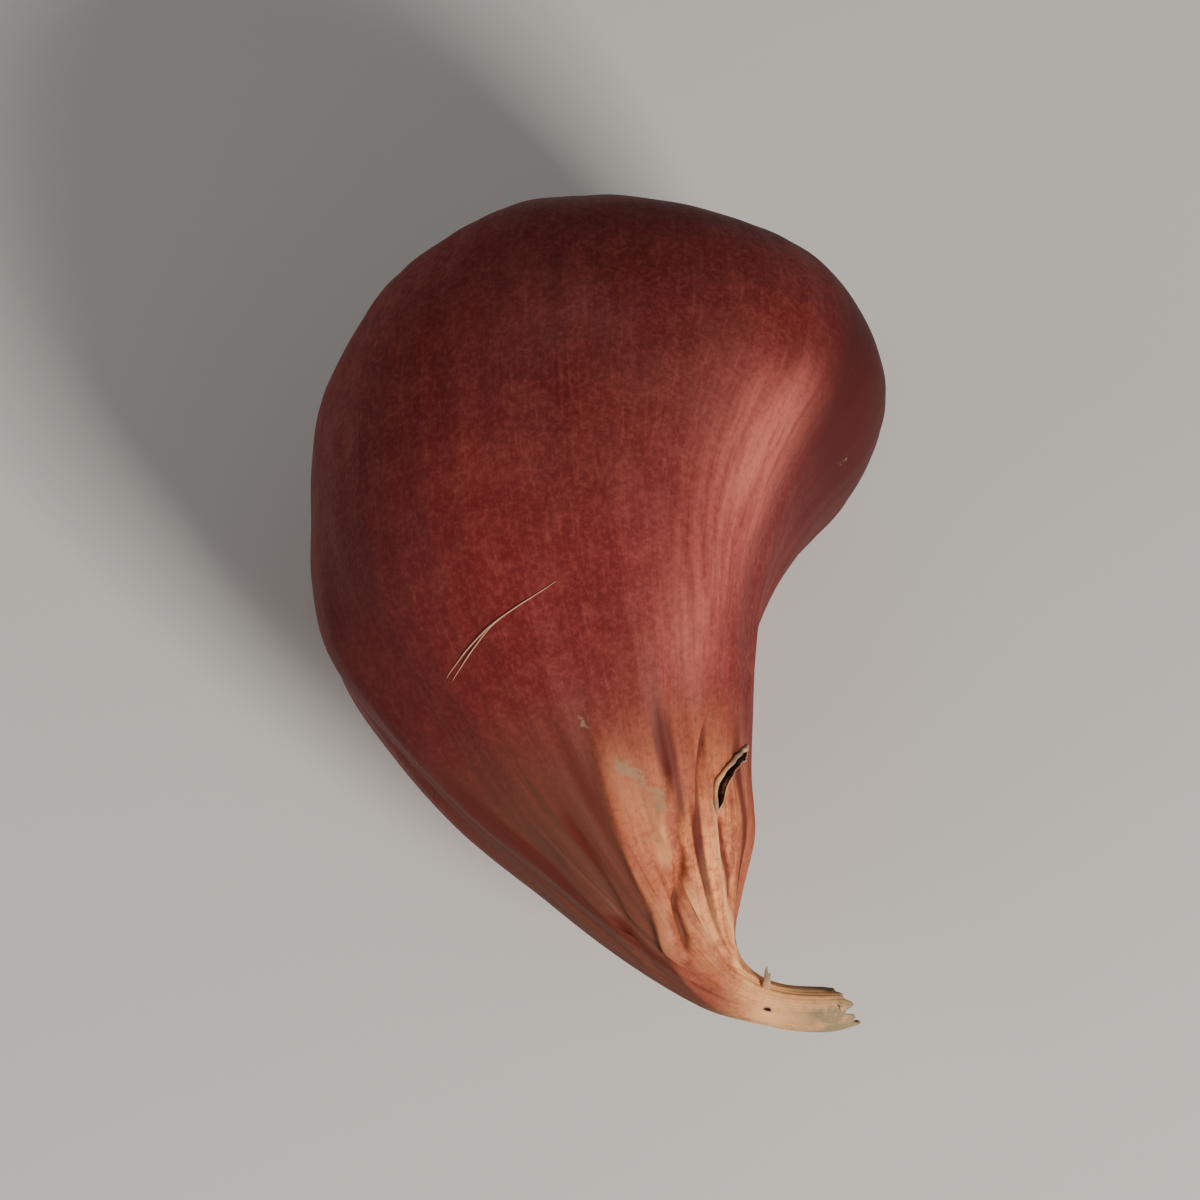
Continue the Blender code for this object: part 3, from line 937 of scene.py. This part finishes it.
def root_finish(settings):
    """Dried root: rough tan that turns dark brown towards the plate, in the plate's dips and in blotches,
    with specks of soil.
    """
    make = Finish("dried_root", Metallic=0.0, Specular_IOR_Level=0.3)
    place = make.place()
    blotch = make.noise(place, ROOT_BLOTCHES)
    speck = make.noise(place, ROOT_SPECKLE)
    outer = make.attribute("outer")
    outward = (outer * 0.8 + blotch * 0.5).between(0.15, 0.85)
    color = make.mix(outward, rgb(settings.dark), rgb(settings.dry))
    color = make.mix(speck.between(0.56, 0.72) * 0.6, color, rgb(settings.soil))
    bump = make.bump(blotch * 0.7 + speck * 0.4, *ROOT_BUMP)
    return make.set(Base_Color=color, Roughness=0.85, Normal=bump)


def soil_finish(settings):
    """Dry soil: dull brown crumbs with paler grains."""
    make = Finish("dry_soil", Metallic=0.0, Specular_IOR_Level=0.2)
    grain = make.noise(make.place(), SOIL_GRAIN)
    color = make.mix(grain.between(0.45, 0.72), rgb(settings.soil), rgb(SOIL_PALE))
    return make.set(Base_Color=color, Roughness=0.95, Normal=make.bump(grain, *SOIL_BUMP))


def stray_finish():
    """The stray fibre: pale straw with darker stretches."""
    make = Finish("pale_fibre", Roughness=0.6)
    color = make.mix(make.noise(make.place(), STRAY_GRAIN), rgb(STRAY_DARK), rgb(STRAY_PALE))
    return make.set(Base_Color=color)


def skin_attributes(ring, around):
    """The numbers that the tunic's finish reads at each vertex, from 0 to about 1.

    The fibres' pattern is a cylinder, so that it closes on itself. Fold is the height of the named folds.
    """
    turned = (around - math.radians(SUNNY_SIDE)) / SUNNY_SPREAD
    sunny = np.exp(-(turned**2) * (1 - ease(ring, 0.86, 0.92)))
    bloom_ahead = (ring - BLOOM_RING) / BLOOM_RING_SPREAD
    bloom_aside = (around - math.radians(BLOOM_SIDE)) / BLOOM_SIDE_SPREAD
    # painted shade: the tip greyer towards its end
    tip_end_shade = ease(ring, 0.905, 0.955) + 0.7 * ease(ring, 0.935, 0.970)
    base_worn = 0.8 * (1 - ease(ring, 0.13, 0.20))
    # the tip's own dry cream, plus cream on the neck's lit side near the tip as painted light
    tip_dry_and_lit_cream = 0.30 * sunny * ease(ring, 0.76, 0.85) + 0.70 * ease(ring, 0.870, 0.915)
    # painted shade inside the torn mouth
    mouth = ease(ring, 0.972, 0.99)
    return {
        "fibre_x": np.cos(around),
        "fibre_y": np.sin(around),
        "fibre_z": ring * FIBRE_STRETCH,
        # the neck's own orange tan, laid mostly on its lit side as painted light
        "neck": ease(ring, 0.62, 0.80) * (0.14 + 0.86 * sunny),
        "fold": neck_relief(ring, around) / FOLD_SCALE,
        # paler skin and a painted highlight along the right-hand ridge
        "flank_pale_and_highlight": follow(ring, around, RIGHT_RIDGE) * (1.2 - 0.5 * ease(ring, 0.47, 0.54)),
        "shade": left_of_neck(ring, around),
        "bloom": np.exp(-(bloom_ahead**2) - bloom_aside**2),
        "fleck": spots(ring, around, FLECKS),
        # wear near the base, and painted shade at the tip's end
        "wear_and_tip_shade": tip_end_shade + base_worn,
        # the dry tip's cream, with a painted highlight streak and painted light on the lit side
        "dry": np.maximum(follow(ring, around, CREAM_HIGHLIGHT_STREAK), tip_dry_and_lit_cream),
        # painted shade over broad places
        "broad_painted_shade": spots(ring, around, BROAD_PAINTED_SHADE),
        # painted shade inside the split, the mouth and a small hole
        "hollow_shade": np.maximum(split_depth(ring, around), mouth) + spots(ring, around, HOLE_SHADE_SPOTS),
    }


class TULIP_OT_tunic(bpy.types.Operator):
    """Make the papery tunic with its folds, fibres and split"""

    bl_idname = "tulip_bulb.tunic"
    bl_label = "Papery tunic"

    def execute(self, context):
        rows = np.interp(np.linspace(0.0, 1.0, TUNIC_ROWS + 1), ROW_SHARES, ROW_RINGS)
        turn = np.linspace(-math.pi, math.pi, TUNIC_COLUMNS, endpoint=False)
        ring = np.repeat(rows, TUNIC_COLUMNS)
        around = np.tile(turn, TUNIC_ROWS + 1)
        shape = (1, TUNIC_ROWS + 1, TUNIC_COLUMNS)
        points = skin_points(ring, around).reshape(*shape, 3)
        attributes = {label: values.reshape(shape) for label, values in skin_attributes(ring, around).items()}
        skin = closed_grids("papery_skin", points, attributes)
        own(skin, tunic_finish(context.scene.tulip_tunic))
        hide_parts("bulb")
        return {"FINISHED"}


def split_lip_points(sides):
    """The raised edge of the split: a tube along its lens-shaped outline, thin where it starts and ends."""
    turn = np.linspace(LIP_GAP, math.tau - LIP_GAP, LIP_POINTS)
    share = (1 + np.cos(turn)) / 2
    first = SPLIT_PATH[0][0]
    last = SPLIT_PATH[-1][0]
    ring = first + share * (last - first)
    reach = np.sign(np.sin(turn)) * split_reach(share) * LIP_REACH
    around = path_middle(ring, SPLIT_PATH) + reach / girth(ring)
    left = np.clip(np.sin(turn), 0.0, 1.0)
    path = skin_points(ring, around + left * LIP_LEAN / girth(ring), LIP_LIFT[0] + LIP_LIFT[1] * left)
    thick = LIP_RADIUS[0] + LIP_RADIUS[1] * left**0.6 * (1 + 0.2 * np.sin(turn * 11))
    thick[[0, -1]] = 0.0
    return tube_points(path[None], thick[None], sides)


class TULIP_OT_split_lip(bpy.types.Operator):
    """Make the dry raised edge round the split beside the neck"""

    bl_idname = "tulip_bulb.split_lip"
    bl_label = "Split edge"

    def execute(self, context):
        points = split_lip_points(LIP_SIDES)
        lip = closed_grids("split_lip", points, {"outer": np.full(points.shape[:3], 0.62)})
        own(lip, dry_skin_finish(context.scene.tulip_tunic))
        return {"FINISHED"}


def strips(starts, ahead, across, outward, length, width, curl, rows=9, columns=5):
    """Torn strips: each narrows to a skew point, sways, and curls outwards with the square of its run."""
    share = np.linspace(0.0, 1.0, rows)[None, :, None, None]
    side = np.linspace(-1.0, 1.0, columns)[None, None, :, None]
    narrow = 1 - share**1.6
    wave = STRIP_WAVE * np.sin(9 * share + 40 * length[:, None, None, None] / 0.001)
    along = ahead[:, None, None] * share * length[:, None, None, None]
    sway = side * narrow + wave + STRIP_SKEW * share
    aside = across[:, None, None] * sway * width[:, None, None, None] / 2
    cupped = -STRIP_CUP * side**2 * narrow * width[:, None, None, None]
    bend = outward[:, None, None] * (curl[:, None, None, None] * share**2 + cupped)
    return starts[:, None, None] + along + aside + bend


def skin_directions(ring, around):
    """Points of the skin with its three unit directions: onward, across and outward."""
    here = skin_points(ring, around)
    onward = skin_points(ring + 0.002, around) - here
    across = skin_points(ring, around + 0.03) - here
    onward /= np.linalg.norm(onward, axis=1)[:, None]
    across /= np.linalg.norm(across, axis=1)[:, None]
    outward = np.cross(across, onward)
    outward /= np.linalg.norm(outward, axis=1)[:, None]
    return here, onward, across, outward


def strip_shares(points):
    """How far out each point of the strips lies, 0 where they leave the skin and 1 at their ends."""
    share = np.linspace(0.0, 1.0, points.shape[1])
    return np.broadcast_to(share[None, :, None], points.shape[:3]).copy()


class TULIP_OT_tip_shreds(bpy.types.Operator):
    """Make the torn papery shreds round the tip and the two little spikes on it"""

    bl_idname = "tulip_bulb.tip_shreds"
    bl_label = "Tip shreds"

    def execute(self, context):
        settings = context.scene.tulip_tunic
        rng = np.random.default_rng(21)
        count = settings.shreds
        around = np.arange(count) * math.tau / count + rng.uniform(-0.2, 0.2, count)
        ring = np.full(count, TIP_RING)
        starts, onward, across, outward = skin_directions(ring, around)
        starts -= outward * TIP_SUNK
        length = rng.uniform(*TIP_LENGTH, count)
        width = rng.uniform(*TIP_WIDTH, count)
        curl = rng.uniform(*TIP_CURL, count)
        torn = strips(starts, onward, across, outward, length, width, curl)

        ring, degrees, aim, length, width, curl = (np.array(column) for column in zip(*SPIKES))
        starts, onward, _, outward = skin_directions(ring, np.radians(degrees))
        aim /= np.linalg.norm(aim, axis=1)[:, None]
        spikes = strips(starts, aim, onward, outward, length, width, curl)
        points = np.concatenate([torn, spikes])
        made = open_grids("tip_shreds", points, TIP_WALL, {"outer": 0.5 + 0.5 * strip_shares(points)})
        own(made, dry_skin_finish(settings))
        return {"FINISHED"}


class TULIP_OT_base_rim(bpy.types.Operator):
    """Make the torn edge of the tunic round the root plate"""

    bl_idname = "tulip_bulb.base_rim"
    bl_label = "Torn base rim"

    def execute(self, context):
        settings = context.scene.tulip_tunic
        rng = np.random.default_rng(22)
        count = settings.rim_flaps
        around = np.arange(count) * math.tau / count + rng.uniform(-0.12, 0.12, count)
        ring = rng.uniform(*RIM_RING, count)
        starts, onward, across, outward = skin_directions(ring, around)
        starts -= outward * RIM_SUNK
        length = rng.uniform(*RIM_LENGTH, count)
        width = rng.uniform(*RIM_WIDTH, count)
        curl = rng.uniform(*RIM_CURL, count)
        points = strips(starts, -onward, across, outward, length, width, curl, rows=12, columns=7)
        made = open_grids("base_rim", points, RIM_WALL, {"outer": strip_shares(points)})
        own(made, dry_skin_finish(settings))
        return {"FINISHED"}


class TULIP_OT_flakes(bpy.types.Operator):
    """Make the loose flakes of outer skin that cling to the neck and the shoulders"""

    bl_idname = "tulip_bulb.flakes"
    bl_label = "Skin flakes"

    def execute(self, context):
        rng = np.random.default_rng(23)
        places = np.array(FLAKES)
        count = len(places)
        share = np.linspace(0.02, 1.0, FLAKE_ROWS)[None, :, None]
        turn = np.linspace(0.0, math.tau, FLAKE_COLUMNS)[None, None, :]
        phase = rng.uniform(0.0, math.tau, (count, 1, 1))
        edge = 1 + 0.22 * np.sin(3 * turn + phase) + 0.14 * np.sin(7 * turn + 2 * phase)
        reach = share * edge * places[:, 2][:, None, None]
        ring = places[:, 0][:, None, None] + reach * np.cos(turn) * 1.7 / TUNIC_LENGTH
        aside = reach * np.sin(turn) * 0.8
        around = np.radians(places[:, 1])[:, None, None] + aside / girth(places[:, 0])[:, None, None]
        lift = FLAKE_LIFT[0] + FLAKE_LIFT[1] * share**3 * (0.5 + 0.5 * np.sin(2 * turn + phase))
        points = skin_points(ring.ravel(), around.ravel(), lift.ravel()).reshape(*ring.shape, 3)
        outer = np.broadcast_to(share, ring.shape).copy()
        made = open_grids("skin_flakes", points, FLAKE_WALL, {"outer": 0.15 + 0.45 * outer})
        own(made, dry_skin_finish(context.scene.tulip_tunic))
        return {"FINISHED"}


class TULIP_OT_stray_fibre(bpy.types.Operator):
    """Make the pale stray fibre that lies across the bulb"""

    bl_idname = "tulip_bulb.stray_fibre"
    bl_label = "Stray fibre"

    def execute(self, context):
        share = np.linspace(0.0, 1.0, FIBRE_POINTS)
        main = smooth(np.linspace(0, 1, len(FIBRE_PATH)), np.array(FIBRE_PATH, float), share)
        branch = smooth(np.linspace(0, 1, len(BRANCH_PATH)), np.array(BRANCH_PATH, float), share)
        lift = FIBRE_LIFT[0] + FIBRE_LIFT[1] * np.sin(math.pi * share) ** 2
        paths = np.stack([skin_points(path[:, 0], np.radians(path[:, 1]), lift) for path in (main, branch)])
        thick = FIBRE_RADIUS * np.sin(math.pi * share) ** 0.4
        thick[[0, -1]] = 0.0
        fibre = closed_grids("stray_fibre", tube_points(paths, np.stack([thick, thick * 0.8]), FIBRE_SIDES))
        own(fibre, stray_finish())
        return {"FINISHED"}


def root_rules():
    """Each root's start, direction, curl, length and radius on the plate, by the solid's own seeded rule."""
    rng = random.Random(ROOT_SEED)
    for ring_index, (count, ring_radius, lean) in enumerate(ROOT_RINGS):
        for i in range(count):
            angle = 2 * math.pi * (i + 0.5 * ring_index + rng.uniform(-ROOT_STRAY, ROOT_STRAY)) / count
            outward = Vector((math.cos(angle), math.sin(angle), 0.0))
            tilt = math.radians(lean + rng.uniform(-ROOT_LEAN_STRAY, ROOT_LEAN_STRAY))
            direction = outward * math.sin(tilt) + Vector((0.0, 0.0, math.cos(tilt)))
            sideways = Vector((-outward.y, outward.x, 0.0))
            curl = outward * rng.uniform(*ROOT_CURL_OUT)
            curl += sideways * rng.uniform(-ROOT_CURL_SIDE, ROOT_CURL_SIDE)
            start = outward * ring_radius + Vector((0.0, 0.0, PLATE_THICKNESS * 0.9))
            length = rng.uniform(*ROOT_LENGTH)
            yield start, direction, curl, length, rng.uniform(*ROOT_RADIUS)


def root_paths():
    """Each root's knots on the plate, walked as the solid walks them, and its radius."""
    paths = []
    radii = []
    for start, direction, curl, length, radius in root_rules():
        point = start - direction * ROOT_SUNK
        step = (length + ROOT_SUNK) / (ROOT_POINTS - 1)
        heading = direction.copy()
        knots = []
        for i in range(ROOT_POINTS):
            knots.append(point.copy())
            point = point + heading * step
            if i > 0:
                heading = (heading + curl * step).normalized()
        paths.append(knots)
        radii.append(radius)
    return np.array(paths), np.array(radii)


def plate_frame():
    """The plate's foot and its three directions, in the frame: two across it and one out of the base."""
    floor = np.array([(SEAT_DEPTH - TOUCHING_GAP) / AXIS_LENGTH])
    place, _, _, onward = axis_frames(floor)
    turn = Vector(-onward[0]).to_track_quat("Z", "Y").to_matrix()
    return place[0] + SHIFT, np.array(turn)


def from_plate(points):
    """Moves points given on the plate, z out of the base, into the frame."""
    foot, turn = plate_frame()
    return points @ turn.T + foot


def refine(paths, points):
    """The same paths with more points, on smooth curves through their knots."""
    count, knots, _ = paths.shape
    flat = paths.transpose(1, 0, 2).reshape(knots, -1)
    fine = smooth(np.arange(knots), flat, np.linspace(0, knots - 1, points))
    return fine.reshape(points, count, 3).transpose(1, 0, 2)


class TULIP_OT_root_crown(bpy.types.Operator):
    """Make the root plate and its crown of dried root stubs"""

    bl_idname = "tulip_bulb.root_crown"
    bl_label = "Root crown"

    def execute(self, context):
        material = root_finish(context.scene.tulip_roots)
        radius = SEAT_RADIUS - TOUCHING_GAP - PLATE_INSET
        share = np.linspace(0.0, 1.0, PLATE_ROWS)
        line = smooth(np.linspace(0.0, 1.0, len(PLATE_PROFILE)), PLATE_PROFILE, share)
        turn = np.linspace(0.0, -math.tau, PLATE_COLUMNS, endpoint=False)
        across = np.clip(line[:, 0], 0.0, 1.0)[:, None] * radius
        height = np.repeat(line[:, 1:] * PLATE_THICKNESS, PLATE_COLUMNS, axis=1)
        plate = np.stack([across * np.cos(turn), across * np.sin(turn), height], axis=-1)
        x = plate[..., 0]
        y = plate[..., 1]
        bumps = np.sin(x * 4200) * np.sin(y * 3900 + 1.0) + np.sin(x * 9100 + 2)
        top = ease(0.5 - share, 0.0, 0.1)[:, None]
        plate[..., 2] += top * PLATE_BUMP * bumps
        # lower where the plate dips, so those places turn darker
        outer = np.clip(0.35 + 0.25 * bumps, 0.0, 1.0) * np.ones((PLATE_ROWS, PLATE_COLUMNS))
        disc = closed_grids("root_plate_disc", from_plate(plate)[None], {"outer": outer[None]})
        own(disc, material)
        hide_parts("root_plate")

        paths, radii = root_paths()
        paths = refine(paths, STUB_POINTS)
        share = np.linspace(0.0, 1.0, STUB_POINTS)
        knobs = 1 + 0.10 * np.sin(share * 40 + radii[:, None] * 90000)
        width = radii[:, None] * (1.0 - 0.5 * share) * knobs
        width[:, [0, -1]] = 0.0
        paths[:, -1] = paths[:, -2] + (paths[:, -1] - paths[:, -2]) * 0.2
        stubs = tube_points(paths, width, STUB_SIDES)
        outer = np.broadcast_to(share[None, :, None], stubs.shape[:3]).copy()
        crown = closed_grids("root_stubs", from_plate(stubs), {"outer": outer})
        own(crown, material)
        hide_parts("root_plate")
        return {"FINISHED"}


def wandering_paths(rng, starts, headings, lengths, points, wander):
    """Paths that leave their starts and turn a little at random at each step."""
    paths = [starts]
    drift = rng.normal(0.0, 1.0, starts.shape)
    step = (lengths / (points - 1))[:, None]
    for _ in range(points - 1):
        drift = 0.75 * drift + rng.normal(0.0, 0.66, starts.shape)
        headings = headings + drift * wander
        headings = headings / np.linalg.norm(headings, axis=1)[:, None]
        paths.append(paths[-1] + headings * step)
    return np.stack(paths, axis=1)


class TULIP_OT_rootlets(bpy.types.Operator):
    """Make the fine hair roots that tangle over the crown"""

    bl_idname = "tulip_bulb.rootlets"
    bl_label = "Rootlets"

    def execute(self, context):
        settings = context.scene.tulip_roots
        rng = np.random.default_rng(31)
        count = settings.rootlets
        angle = rng.uniform(0.0, math.tau, count)
        reach = SEAT_RADIUS * np.sqrt(rng.uniform(0.02, 0.80, count))
        height = np.full(count, PLATE_THICKNESS * 0.8)
        foot = np.stack([reach * np.cos(angle), reach * np.sin(angle), height], axis=1)
        lean = rng.uniform(*ROOTLET_LEAN, count)
        heading = np.stack([np.cos(angle) * np.sin(lean), np.sin(angle) * np.sin(lean), np.cos(lean)], axis=1)
        lengths = rng.uniform(*ROOTLET_LENGTH, count)
        paths = wandering_paths(rng, foot, heading, lengths, ROOTLET_POINTS, ROOTLET_WANDER)
        deepest = PLATE_THICKNESS * 0.55
        height = paths[..., 2] - deepest
        paths[..., 2] = deepest + ROOTLET_CEILING * np.tanh(np.abs(height) / ROOTLET_CEILING)
        wide = np.hypot(paths[..., 0], paths[..., 1])
        inward = np.minimum(1.0, ROOTLET_SPREAD * np.tanh(wide / ROOTLET_SPREAD) / np.maximum(wide, 1e-9))
        paths[..., :2] *= inward[..., None]
        share = np.linspace(0.0, 1.0, ROOTLET_POINTS)
        thick = rng.uniform(*ROOTLET_RADIUS, count)[:, None] * (1 - 0.7 * share)
        thick[:, [0, -1]] = 0.0
        tubes = tube_points(from_plate(paths), thick, ROOTLET_SIDES)
        outer = np.broadcast_to((0.35 + 0.5 * share)[None, :, None], tubes.shape[:3]).copy()
        made = closed_grids("rootlets", tubes, {"outer": outer})
        own(made, root_finish(settings))
        return {"FINISHED"}


class TULIP_OT_crumbs(bpy.types.Operator):
    """Make the crumbs of dry soil between the roots"""

    bl_idname = "tulip_bulb.crumbs"
    bl_label = "Soil crumbs"

    def execute(self, context):
        settings = context.scene.tulip_roots
        rng = np.random.default_rng(32)
        count = settings.crumbs
        angle = rng.uniform(0.0, math.tau, count)
        reach = SEAT_RADIUS * np.sqrt(rng.uniform(0.0, 0.98, count))
        height = PLATE_THICKNESS * rng.uniform(*CRUMB_HEIGHT, count)
        centres = from_plate(np.stack([reach * np.cos(angle), reach * np.sin(angle), height], axis=1))
        tall = np.linspace(0.0, math.pi, CRUMB_ROWS)[None, :, None]
        turn = np.linspace(0.0, -math.tau, CRUMB_COLUMNS, endpoint=False)[None, None, :]
        radius = rng.uniform(*CRUMB_RADIUS, (count, 1, 1))
        size = radius * rng.uniform(*CRUMB_ROUGHNESS, (count, CRUMB_ROWS, CRUMB_COLUMNS))
        upward = np.cos(tall) * np.ones_like(turn)
        ball = np.stack([np.sin(tall) * np.cos(turn), np.sin(tall) * np.sin(turn), upward], axis=-1)
        points = centres[:, None, None] + ball * size[..., None]
        made = closed_grids("soil_crumbs", points)
        own(made, soil_finish(settings))
        return {"FINISHED"}


class TULIP_OT_stage(bpy.types.Operator):
    """Set up the floor, the lights and the camera"""

    bl_idname = "tulip_bulb.stage"
    bl_label = "Studio"

    def execute(self, context):
        settings = context.scene.tulip_stage
        bpy.ops.mesh.primitive_plane_add(size=FLOOR_SIZE, location=(0.0, 0.0, 0.0))
        floor = context.object
        floor.name = "floor"
        paper = Finish("pale_floor", Roughness=0.7, Specular_IOR_Level=0.2)
        floor.data.materials.append(paper.set(Base_Color=rgb(settings.floor)))
        floor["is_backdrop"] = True

        self.area(context, "key", KEY_PLACE, KEY_SIZE, settings.key, KEY_COLOR)
        self.area(context, "fill", FILL_PLACE, FILL_SIZE, settings.fill, SKY_COLOR)

        world = bpy.data.worlds.new("studio")
        world.use_nodes = True
        sky = world.node_tree.nodes["Background"]
        sky.inputs["Color"].default_value = rgb(SKY_COLOR)
        sky.inputs["Strength"].default_value = SKY_STRENGTH
        context.scene.world = world

        data = bpy.data.cameras.new("camera")
        data.lens = settings.lens
        camera = bpy.data.objects.new("camera", data)
        context.scene.collection.objects.link(camera)
        back = Vector((0.0, -math.cos(settings.elevation), math.sin(settings.elevation)))
        camera.location = Vector(TARGET) + back * settings.distance
        camera.rotation_euler = back.to_track_quat("Z", "Y").to_euler()
        context.scene.camera = camera
        return {"FINISHED"}

    def area(self, context, name, offset, size, power, color):
        """A square lamp at an offset from the target that faces it."""
        data = bpy.data.lights.new(name, "AREA")
        data.size = size
        data.energy = power
        data.color = color
        lamp = bpy.data.objects.new(name, data)
        lamp.location = Vector(TARGET) + Vector(offset)
        lamp.rotation_euler = Vector(offset).to_track_quat("Z", "Y").to_euler()
        context.scene.collection.objects.link(lamp)


class TULIP_PT_panel(bpy.types.Panel):
    """Lists the bulb's pieces"""

    bl_label = "Tulip bulb"
    bl_idname = "TULIP_PT_panel"
    bl_space_type = "VIEW_3D"
    bl_region_type = "UI"
    bl_category = "Tulip bulb"

    def draw(self, context):
        for operator in OPERATORS:
            self.layout.operator(operator.bl_idname)


OPERATORS = (
    TULIP_OT_tunic,
    TULIP_OT_split_lip,
    TULIP_OT_tip_shreds,
    TULIP_OT_base_rim,
    TULIP_OT_flakes,
    TULIP_OT_stray_fibre,
    TULIP_OT_root_crown,
    TULIP_OT_rootlets,
    TULIP_OT_crumbs,
    TULIP_OT_stage,
)
CLASSES = (TunicSettings, RootSettings, StageSettings, *OPERATORS, TULIP_PT_panel)


def register():
    for made in CLASSES:
        bpy.utils.register_class(made)
    bpy.types.Scene.tulip_tunic = PointerProperty(type=TunicSettings)
    bpy.types.Scene.tulip_roots = PointerProperty(type=RootSettings)
    bpy.types.Scene.tulip_stage = PointerProperty(type=StageSettings)


def unregister():
    del bpy.types.Scene.tulip_stage
    del bpy.types.Scene.tulip_roots
    del bpy.types.Scene.tulip_tunic
    for made in reversed(CLASSES):
        bpy.utils.unregister_class(made)


def write_sizes():
    """Sets the solids' box and the finished bulb's box side by side as lists, which nothing keeps."""
    boxes = {"cad": CAD_BOX, "visual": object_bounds()}
    {name: [[float(v) for v in corner] for corner in box] for name, box in boxes.items()}


def main():
    register()
    bpy.ops.tulip_bulb.tunic()
    bpy.ops.tulip_bulb.split_lip()
    bpy.ops.tulip_bulb.tip_shreds()
    bpy.ops.tulip_bulb.base_rim()
    bpy.ops.tulip_bulb.flakes()
    bpy.ops.tulip_bulb.stray_fibre()
    bpy.ops.tulip_bulb.root_crown()
    bpy.ops.tulip_bulb.rootlets()
    bpy.ops.tulip_bulb.crumbs()
    bpy.ops.tulip_bulb.stage()
    write_sizes()


if __name__ == "__main__":
    main()
